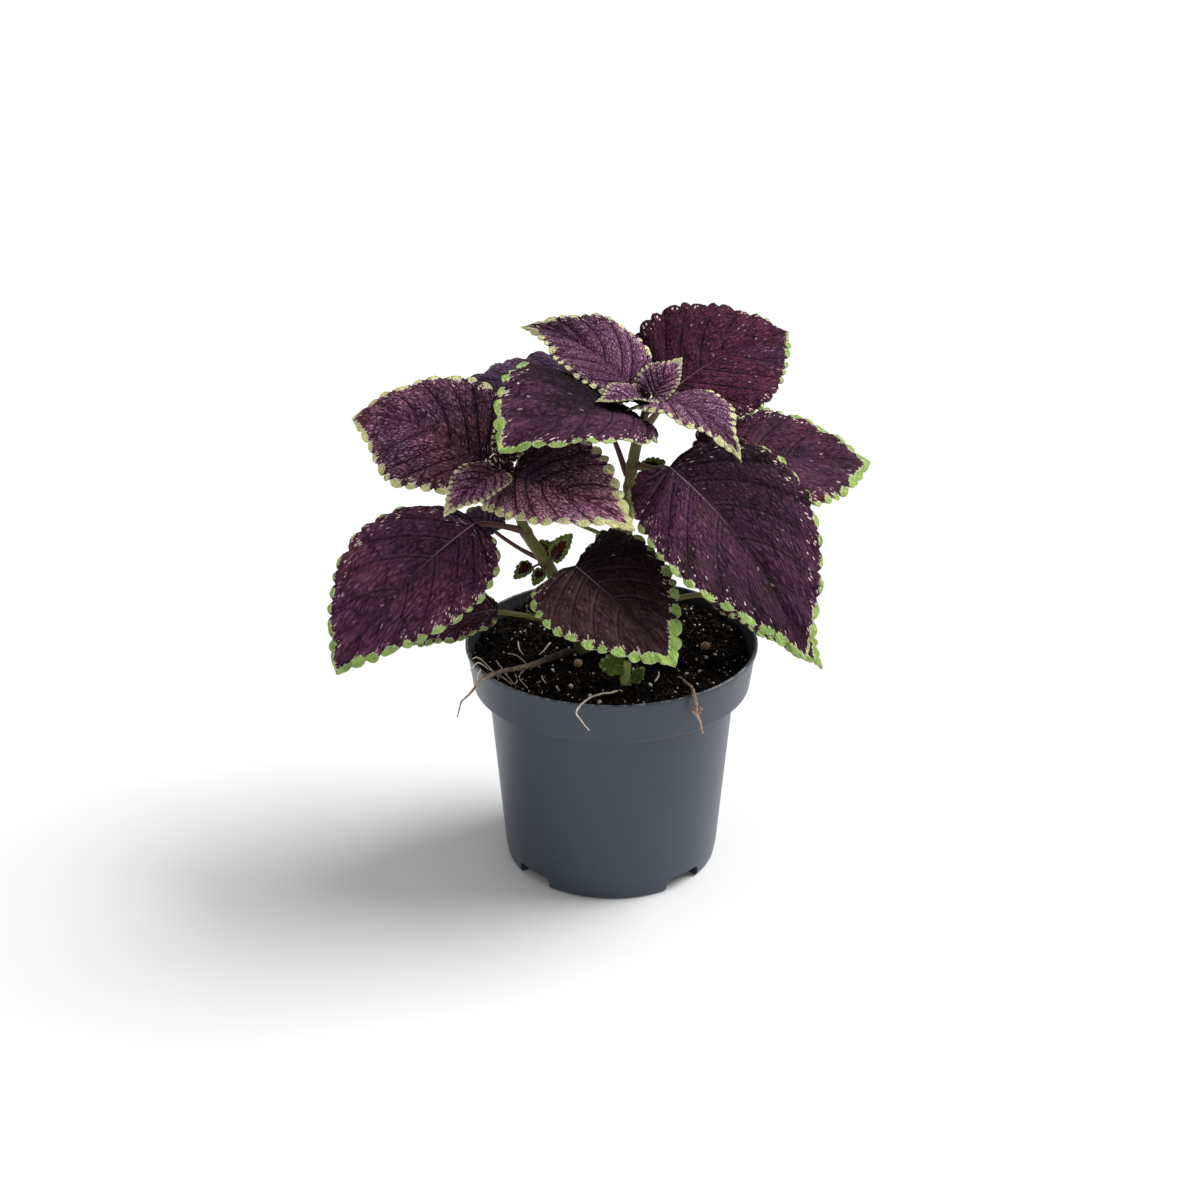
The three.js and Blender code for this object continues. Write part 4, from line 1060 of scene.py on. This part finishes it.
def notch_cutter():
    """Solids that cut the drainage notches out of the pot's foot."""
    shell = Shell()
    half = NOTCH_WIDTH / 2
    right = notch_arch()
    arch = [(-half, -1), (half, -1), *right, *[(-x, z) for x, z in right[::-1]]]
    count = len(arch)
    sides = [(k, (k + 1) % count, (k + 1) % count + count, k + count) for k in range(count)]
    caps = [tuple(range(count))[::-1], tuple(range(count, 2 * count))]
    points = np.array([(x, -depth, z) for depth in (BASE_RADIUS - 9, BASE_RADIUS + 5) for x, z in arch])
    for i in range(NOTCH_COUNT):
        angle = math.radians(NOTCH_FIRST_ANGLE + 360 / NOTCH_COUNT * i)
        turn = np.array([
            [math.cos(angle), -math.sin(angle), 0], [math.sin(angle), math.cos(angle), 0], [0, 0, 1],
        ])
        shell.add(points @ turn.T, sides + caps)
    cutter = shell.piece("notch_cutter")
    face_outwards(cutter.data)
    return cutter


def pot():
    ledge = POT_HEIGHT - COLLAR_HEIGHT
    corners = [
        ((BASE_RADIUS, 0), 2.2), ((BASE_RADIUS + 0.55, 5.2), 0.3), ((BASE_RADIUS + 0.85, 5.6), 0.3),
        ((WALL_TOP_RADIUS, ledge), 1.0), ((COLLAR_RADIUS, ledge), 1.0),
        ((RIM_RADIUS - 0.75, POT_HEIGHT - 2 * LIP), 0.2), ((RIM_RADIUS, POT_HEIGHT - 1.8 * LIP), 0.3),
        ((RIM_RADIUS, POT_HEIGHT), 0.55), ((RIM_RADIUS - WALL, POT_HEIGHT), 0.5),
        ((COLLAR_RADIUS - WALL, ledge + WALL), 0.8), ((WALL_TOP_RADIUS - WALL, ledge + WALL), 0.8),
        ((BASE_RADIUS - WALL, FLOOR_THICKNESS), 1.5),
    ]
    places = [(0, 0), *[corner for corner, _ in corners], (0, FLOOR_THICKNESS)]
    outline = [places[0]]
    for i, (corner, radius) in enumerate(corners):
        outline += rounded(corner, places[i], places[i + 2], radius)
    shell = Shell()
    shell.add(*turned([*outline, places[-1]], 192))
    body = shell.piece("nursery_pot", plastic_material())
    cutter = notch_cutter()
    cut = body.modifiers.new("notches", "BOOLEAN")
    cut.operation, cut.object, cut.solver = "DIFFERENCE", cutter, "EXACT"
    keep_result(body)
    bpy.data.objects.remove(cutter)
    body.data.shade_smooth()
    body.data.set_sharp_from_angle(angle=math.radians(35))
    settle(body, "pot", "pot")


pot()


# ---- Soil ----
def peat_material():
    """Near-black damp peat: fine crumbs with a few brown ones."""
    s = Shader("peat")
    crumb = s.noise(s.place(), 900.0, 5.0, 0.7)
    brown = s.noise(s.place(), 350.0, 3.0)
    colour = s.mix(crumb.step(0.4, 0.75), srgb(1, 1, 1), srgb(13, 10, 7))
    colour = s.mix(brown.step(0.62, 0.75) * 0.5, colour, srgb(60, 44, 30))
    return s.finish(colour, 0.85, s.bump(crumb, 0.8, 0.0006), Specular_IOR_Level=0.1)


def plain_material(name, low, high, scale, roughness, gloss=0.3):
    """A rough natural surface mottled between two colours."""
    s = Shader(name)
    mottle = s.noise(s.place(), scale, 4.0, 0.65)
    colour = s.mix(mottle.step(0.3, 0.7), srgb(*low), srgb(*high))
    return s.finish(colour, roughness, s.bump(mottle, 0.6, 0.0002), Specular_IOR_Level=gloss)


PEAT = peat_material()
PERLITE = plain_material("perlite", (205, 200, 188), (252, 250, 244), 2200, 0.8)
CRUMB = plain_material("bark_crumb", (2, 2, 1), (34, 25, 17), 500, 0.85, 0.1)
CLUMP = plain_material("bark_clump", (30, 21, 14), (112, 84, 58), 700, 0.85, 0.1)
FIBRE = plain_material("peat_fibre", (52, 36, 24), (128, 98, 66), 500, 0.8)
TAN_BEAD = plain_material("feed_bead", (134, 106, 74), (196, 168, 128), 900, 0.6)
SOIL_RINGS, SOIL_SIDES = 90, 180


def soil_top_height(x, y):
    radius = np.hypot(x, y)
    waves = np.sin(x * 0.31) + np.cos(y * 0.27 + 1)
    small = np.sin(x * 1.3 + 2 * np.sin(y * 0.9)) * np.cos(y * 1.1 + np.sin(x * 0.7))
    heap = 3.2 * smoothstep(30, 56, radius) * smoothstep(-5, 30, y)
    return SOIL_LEVEL + 0.4 * waves + 0.45 * small - 0.6 * smoothstep(50, 57, radius) + heap


def soil():
    ledge = POT_HEIGHT - COLLAR_HEIGHT + WALL
    collar_slope = (RIM_RADIUS - COLLAR_RADIUS) / (POT_HEIGHT - ledge)
    top_radius = COLLAR_RADIUS - WALL - 0.6 + collar_slope * (SOIL_LEVEL - ledge)
    top = np.array([
        circle(top_radius * share, 0, SOIL_SIDES) for share in np.sqrt(np.linspace(0, 1, SOIL_RINGS + 1))[1:]
    ])
    x, y = top[..., 0], top[..., 1]
    crumbs = cell_pattern(x / 1.9 + 40, y / 1.9 + 40, 5) * 0.8
    crumbs = crumbs + cell_pattern(x / 4.3 + 40, y / 4.3 + 40, 6) * 0.9
    top[..., 2] = soil_top_height(x, y) + crumbs - 0.9 + np.random.default_rng(11).normal(0, 0.12, x.shape)
    lower = [
        (COLLAR_RADIUS - WALL - 0.6, ledge + 0.4), (WALL_TOP_RADIUS - WALL - 0.8, ledge + 0.3),
        (BASE_RADIUS - WALL - 0.6, BASE_CORNER + 0.5),
        (BASE_RADIUS - BASE_CORNER - 0.6, FLOOR_THICKNESS + 0.3),
    ]
    rings = [circle(radius, height, SOIL_SIDES) for radius, height in lower]
    poles = [(0, 0, float(soil_top_height(0.0, 0.0))), (0, 0, FLOOR_THICKNESS + 0.3)]
    count = SOIL_RINGS + len(lower)
    faces = grid_faces(count, SOIL_SIDES, wrap=True)
    last = (count - 1) * SOIL_SIDES
    pole = count * SOIL_SIDES
    for j in range(SOIL_SIDES):
        k = (j + 1) % SOIL_SIDES
        faces += [(pole, j, k), (pole + 1, last + j, last + k)]
    shell = Shell()
    shell.add(np.vstack([top.reshape(-1, 3), *rings, *poles]), faces)
    piece = shell.piece("peat_soil", PEAT)
    face_outwards(piece.data)
    settle(piece, "soil", "soil")
    return piece


def speck(name, stretch, subdivisions, seed, roughness):
    """A small irregular lump to scatter, about a millimetre across."""
    mesh = bpy.data.meshes.new(name)
    lump = bmesh.new()
    bmesh.ops.create_icosphere(lump, subdivisions=subdivisions, radius=0.5 * MM)
    chance = np.random.default_rng(seed)
    for vertex in lump.verts:
        vertex.co *= 1 + chance.normal(0, roughness)
        vertex.co.x *= stretch
    lump.to_mesh(mesh)
    lump.free()
    return bpy.data.objects.new(name, mesh)


def bent_fibre(name, seed):
    """A thin bent strand to scatter, about five millimetres long."""
    chance = np.random.default_rng(seed)
    steps = [np.full(5, 1.2), chance.normal(0, 0.5, 5), chance.normal(0, 0.25, 5)]
    knots = np.cumsum(np.column_stack(steps), axis=0)
    shell = Shell()
    shell.add(*tube(smooth_path(knots - knots.mean(axis=0), 8), np.full(9, 0.12), 4))
    piece = shell.piece(name)
    bpy.context.scene.collection.objects.unlink(piece)
    return piece


def scatter_tree(name):
    """A node group that strews copies of a shape over the upward faces of a surface, round the axis."""
    tree = bpy.data.node_groups.new(name, "GeometryNodeTree")
    inputs = {
        "Geometry": "Geometry", "Shape": "Object", "Density": "Float", "Smallest": "Float",
        "Largest": "Float", "Lift": "Float", "Tilt": "Float", "Seed": "Int", "Material": "Material",
        "Reach": "Float",
    }
    for label, kind in inputs.items():
        tree.interface.new_socket(label, in_out="INPUT", socket_type="NodeSocket" + kind)
    tree.interface.new_socket("Geometry", in_out="OUTPUT", socket_type="NodeSocketGeometry")

    def node(kind, values, **settings):
        """Adds a node. Its settings are set first, then the values or links of its sockets."""
        made = tree.nodes.new(kind)
        for key, setting in settings.items():
            setattr(made, key, setting)
        for key, value in values.items():
            if isinstance(value, bpy.types.NodeSocket):
                tree.links.new(value, made.inputs[key])
            else:
                made.inputs[key].default_value = value
        return made.outputs

    given = node("NodeGroupInput", {})
    facing = node("ShaderNodeSeparateXYZ", {0: node("GeometryNodeInputNormal", {})[0]})["Z"]
    upward = node("FunctionNodeCompare", {0: facing, 1: 0.3}, operation="GREATER_THAN")[0]
    place = node("GeometryNodeInputPosition", {})[0]
    level = node("ShaderNodeVectorMath", {0: place, 1: (1, 1, 0)}, operation="MULTIPLY")[0]
    radius = node("ShaderNodeVectorMath", {0: level}, operation="LENGTH")["Value"]
    within = node("FunctionNodeCompare", {0: radius, 1: given["Reach"]}, operation="LESS_THAN")[0]
    wanted = node("FunctionNodeBooleanMath", {0: upward, 1: within})[0]
    strewn = node("GeometryNodeDistributePointsOnFaces", {
        "Mesh": given["Geometry"], "Selection": wanted, "Density": given["Density"], "Seed": given["Seed"],
    })["Points"]
    offset = node("ShaderNodeCombineXYZ", {"Z": given["Lift"]})[0]
    raised = node("GeometryNodeSetPosition", {"Geometry": strewn, "Offset": offset})[0]
    size = node("FunctionNodeRandomValue", {
        2: given["Smallest"], 3: given["Largest"], "Seed": given["Seed"],
    })[1]
    most = node("ShaderNodeCombineXYZ", {"X": given["Tilt"], "Y": given["Tilt"], "Z": 2 * math.pi})[0]
    turn = node(
        "FunctionNodeRandomValue", {0: (0, 0, 0), 1: most, "Seed": given["Seed"]}, data_type="FLOAT_VECTOR",
    )[0]
    shape = node("GeometryNodeObjectInfo", {"Object": given["Shape"]})["Geometry"]
    copies = node("GeometryNodeInstanceOnPoints", {
        "Points": raised, "Instance": shape, "Rotation": turn, "Scale": size,
    })[0]
    real = node("GeometryNodeRealizeInstances", {0: copies})[0]
    painted = node("GeometryNodeSetMaterial", {"Geometry": real, "Material": given["Material"]})[0]
    node("NodeGroupOutput", {0: painted})
    return tree


SCATTER = scatter_tree("strew_over_soil")
GROUND = soil()


def scattered(name, shape, density, sizes, lift, seed, material, reach, tilt=3.1):
    """Loose cover on the soil: copies of a shape, kept as a plain mesh.

    Density is the number to a square metre. Lift, and reach from the axis, are in metres.
    """
    piece = bpy.data.objects.new(name, GROUND.data.copy())
    bpy.context.scene.collection.objects.link(piece)
    modifier = piece.modifiers.new(name, "NODES")
    modifier.node_group = SCATTER
    inputs = {
        "Shape": shape, "Density": density, "Smallest": sizes[0], "Largest": sizes[1], "Lift": lift,
        "Tilt": tilt, "Seed": seed, "Material": material, "Reach": reach,
    }
    for socket in SCATTER.interface.items_tree:
        if socket.name in inputs:
            modifier[socket.identifier] = inputs[socket.name]
    keep_result(piece)
    settle(piece, "soil")


scattered(
    "bark_crumbs", speck("crumb", stretch=1.5, subdivisions=1, seed=1, roughness=0.3), density=240000.0,
    sizes=(0.5, 2.4), lift=0.0001, seed=3, material=CRUMB, reach=0.0565,
)
scattered(
    "bark_clumps", speck("clump", stretch=1.7, subdivisions=1, seed=7, roughness=0.3), density=11000.0,
    sizes=(0.6, 2.0), lift=0.0003, seed=13, material=CLUMP, reach=0.0555,
)
scattered(
    "perlite_specks", speck("perlite", stretch=1.2, subdivisions=1, seed=2, roughness=0.15), density=30000.0,
    sizes=(0.25, 1.0), lift=0.0006, seed=8, material=PERLITE, reach=0.0565,
)
scattered(
    "perlite_lumps", speck("lump", stretch=1.2, subdivisions=2, seed=6, roughness=0.12), density=2200.0,
    sizes=(1.2, 1.8), lift=0.0006, seed=21, material=PERLITE, reach=0.0555,
)
scattered(
    "peat_fibres", bent_fibre("fibre", seed=4), density=20000.0, sizes=(0.4, 1.2), lift=0.0006, seed=5,
    material=FIBRE, reach=0.053, tilt=0.5,
)

# ---- Feed beads ----
BEAD_RADIUS = 1.8
BEAD_SINK = 0.5
BEADS = ((-13.7, -9.5), (41.5, 34), (48.5, 22), (39, 7))


def feed_bead(index, x, y):
    ball = bmesh.new()
    bmesh.ops.create_icosphere(ball, subdivisions=4, radius=BEAD_RADIUS * MM)
    squash = Vector(1 + np.random.default_rng(index).normal(0, 0.05, 3))
    centre = Vector((x, y, SOIL_LEVEL + BEAD_RADIUS - BEAD_SINK)) * MM
    for vertex in ball.verts:
        dent = 1 + 0.03 * math.sin(vertex.co.x * 4000 + index) * math.cos(vertex.co.y * 3300)
        vertex.co = vertex.co * squash * dent + centre
    mesh = bpy.data.meshes.new(f"bead_{index + 1}")
    ball.to_mesh(mesh)
    ball.free()
    mesh.shade_smooth()
    mesh.materials.append(TAN_BEAD)
    bead = bpy.data.objects.new(f"bead_{index + 1}", mesh)
    bpy.context.scene.collection.objects.link(bead)
    settle(bead, "bead", f"feed_bead_{index + 1}")


for bead_index, bead_place in enumerate(BEADS):
    feed_bead(bead_index, *bead_place)


# ---- Roots ----
def root_bark():
    """The left root's bark: dark olive where it leaves the soil and greyish tan towards the rim."""
    s = Shader("root_bark")
    mottle = s.noise(s.place(), 600.0, 4.0, 0.65).step(0.3, 0.7)
    inner = s.mix(mottle, srgb(36, 35, 25), srgb(78, 74, 54))
    outer = s.mix(mottle, srgb(116, 98, 78), srgb(186, 164, 138))
    colour = s.mix(s.from_axis(s.place()).step(0.024, 0.044), inner, outer)
    return s.finish(colour, 0.65, s.bump(mottle, 0.6, 0.0002), Specular_IOR_Level=0.3)


WHITE_ROOT = plain_material("white_root", (206, 190, 170), (250, 240, 228), 800, 0.6)
ROOTS = {
    "root_left": dict(
        route=[(-11.5, 2, 89), (-17.5, 0.5, 91.2), (-23.5, -6, 92.5), (-34, -19, 94.5), (-43, -31, 98.2),
               (-48, -38, 99.9), (-51, -39.5, 98.6), (-55, -37.5, 92), (-59.5, -35.5, 86.5),
               (-61.5, -35, 80)],
        radii=(1.7, 1.55, 1.15, 0.85, 0.65, 0.42, 0.25), material=root_bark(), slot="root",
    ),
    "root_front": dict(
        route=[(6, -30.5, 88.5), (3, -33, 91), (-1.5, -38, 92.6), (-5.5, -47, 96.4), (-9, -55.5, 99.1),
               (-11.7, -60.3, 99), (-13.2, -61.2, 96.5), (-12, -61.4, 93.5), (-8.5, -61.8, 88.5)],
        radii=(0.45, 0.45, 0.4, 0.35, 0.3, 0.22), material=WHITE_ROOT, slot="fine_root",
    ),
    "root_right": dict(
        route=[(24, -18, 88.5), (27.5, -22, 91.5), (30, -31, 93.6), (31.5, -43, 97.4), (32.3, -51, 99.6),
               (33, -53.4, 97.2), (33.5, -53.2, 92.5), (34.8, -52.6, 87.5), (36, -52, 82)],
        radii=(0.3, 0.35, 0.55, 0.65, 0.6, 0.5, 0.3), slot="root",
        material=plain_material("pale_root", (104, 72, 54), (206, 178, 156), 420, 0.65),
    ),
}
# Fine white rootlets that lie on the soil beside the left root, as places seen from above.
ROOTLETS = (
    ((-47.2, -7.2), (-43.4, -18.1), (-39.3, -30.5)), ((-45.7, -20.8), (-42.7, -25.2), (-39.7, -30.5)),
    ((-38.9, -19.9), (-37.9, -25.2), (-38.9, -30.5)), ((-42.6, -1.6), (-38.7, -5.3), (-34.8, -11.7)),
    ((-38.9, 9.8), (-37.8, 3.1), (-36, -2.5)), ((-25.6, 10.8), (-27.5, 4.1), (-29.7, -4.3)),
    ((-28, -20.7), (-27.6, -24), (-26.2, -27.8)), ((-22.1, -30.4), (-20.4, -33.9)),
    ((17.5, -26.6), (19.2, -21.3), (19.6, -17.7)), ((-34.5, -14.2), (-37, -24), (-33, -33)),
)
# Rootlets that cling to the rim's edge around the left root.
RIM_ROOTLETS = (
    ((-57, -18.5, 96.5), (-54.5, -20, 99.3), (-50, -24, 97), (-45.5, -27, 93)),
    ((-56.5, -23.5, 95), (-53.5, -25.5, 99.4), (-49, -27, 97), (-45, -24.5, 93.5)),
    ((-52, -30.5, 99), (-53.2, -31.2, 96.5), (-53, -31.8, 92.5)),
)
# The middle of the small tangle of rootlets at the right root's bend.
KNOT_PLACE = (33.4, -53.6, 93)


def root(name, route, radii, material, slot):
    chance = np.random.default_rng(len(name))
    centres = smooth_path(route, 120)
    count = len(centres)
    wander = np.cumsum(chance.normal(0, 0.05, centres.shape), axis=0)
    centres = centres + wander - np.linspace(0, 1, count)[:, None] * wander[-1]
    lumps = 1 + 0.12 * np.sin(np.arange(count) * 0.9) * chance.random(count)
    shell = Shell()
    shell.add(*tube(centres, spread(radii, count) * lumps, 12))
    bark_faces = len(shell.faces)
    if name == "root_left":
        routes = [[(x, y, float(soil_top_height(x, y)) + 1.7) for x, y in line] for line in ROOTLETS]
        for places in [*routes, *RIM_ROOTLETS]:
            line = smooth_path(places, 24)
            line = line + np.cumsum(chance.normal(0, 0.06, line.shape), axis=0) * (1, 1, 0.4)
            shell.add(*tube(line, np.linspace(0.36, 0.2, len(line)), 6))
    if name == "root_right":
        for _ in range(10):
            start = np.array(KNOT_PLACE) + chance.normal(0, 0.5, 3)
            line = start + np.cumsum(chance.normal(0, 0.75, (5, 3)), axis=0) * (1, 0.5, 1)
            shell.add(*tube(smooth_path(line, 16), np.linspace(0.3, 0.12, 17), 6))
    fine = WHITE_ROOT if name == "root_left" else material
    settle(shell.piece(name + "_skin", material, fine, second_from=bark_faces), slot, name)


for root_name, root_settings in ROOTS.items():
    root(root_name, **root_settings)

# ---- The pale shoot's stem at the foot of the plant ----
SPROUT_ROUTE = [(6.6, -27, 85), (5.5, -26.5, 93), (6.5, -25.5, 100)]
SPROUT_RADII = (2.3, 2.1, 1.6)
SPROUT_SKIN = plain_material("sprout_skin", (138, 160, 78), (196, 210, 132), 500, 0.55)
sprout_shell = Shell()
sprout_shell.add(*tube(smooth_path(SPROUT_ROUTE, 40), spread(SPROUT_RADII, 41), 16))
settle(sprout_shell.piece("sprout_stem_skin", SPROUT_SKIN), "sprout", "sprout_stem")

# ---- Floor, light and camera, in metres and degrees; the lens and its sensor are in millimetres ----
FLOOR_REACH = 20
FLOOR_TONES = ((0.89, 0.89, 0.89, 1), (0.9, 0.9, 0.9, 1))
SKY_STRENGTH = 0.5
LIGHT_STRENGTH = 3.25
LIGHT_SPREAD = 42
LIGHT_FROM = (1, 0.28, 1.08)
LENS = 64.48
SENSOR = 36
FAR_END = 50
CAMERA_PLACE = (0, -0.7951, 0.4817)
CAMERA_DROP = 24.733
CAMERA_TURN = 0.341


def studio():
    floor_mesh = bpy.data.meshes.new("studio_floor")
    corners = [(x * FLOOR_REACH, y * FLOOR_REACH, 0) for x, y in ((-1, -1), (1, -1), (1, 1), (-1, 1))]
    floor_mesh.from_pydata(corners, [], [(0, 1, 2, 3)])
    floor = bpy.data.objects.new("studio_floor", floor_mesh)
    s = Shader("pale_floor")
    tone = s.mix(s.noise(s.place(), 3.0), *FLOOR_TONES)
    floor_mesh.materials.append(s.finish(tone, 0.9, Specular_IOR_Level=0.1))
    bpy.context.scene.collection.objects.link(floor)

    world = bpy.data.worlds.new("studio")
    world.use_nodes = True
    world.node_tree.nodes["Background"].inputs["Color"].default_value = (1, 1, 1, 1)
    world.node_tree.nodes["Background"].inputs["Strength"].default_value = SKY_STRENGTH
    bpy.context.scene.world = world

    light = bpy.data.lights.new("softbox", "SUN")
    light.energy, light.angle = LIGHT_STRENGTH, math.radians(LIGHT_SPREAD)
    lamp = bpy.data.objects.new("softbox", light)
    lamp.rotation_euler = Vector(LIGHT_FROM).to_track_quat("Z", "Y").to_euler()
    bpy.context.scene.collection.objects.link(lamp)


def camera():
    lens = bpy.data.cameras.new("camera")
    lens.lens, lens.sensor_width, lens.clip_end = LENS, SENSOR, FAR_END
    eye = bpy.data.objects.new("camera", lens)
    eye.location = CAMERA_PLACE
    eye.rotation_euler = (math.radians(90 - CAMERA_DROP), 0, math.radians(CAMERA_TURN))
    bpy.context.scene.collection.objects.link(eye)
    bpy.context.scene.camera = eye


studio()
camera()
bpy.context.scene.view_settings.view_transform = "Standard"
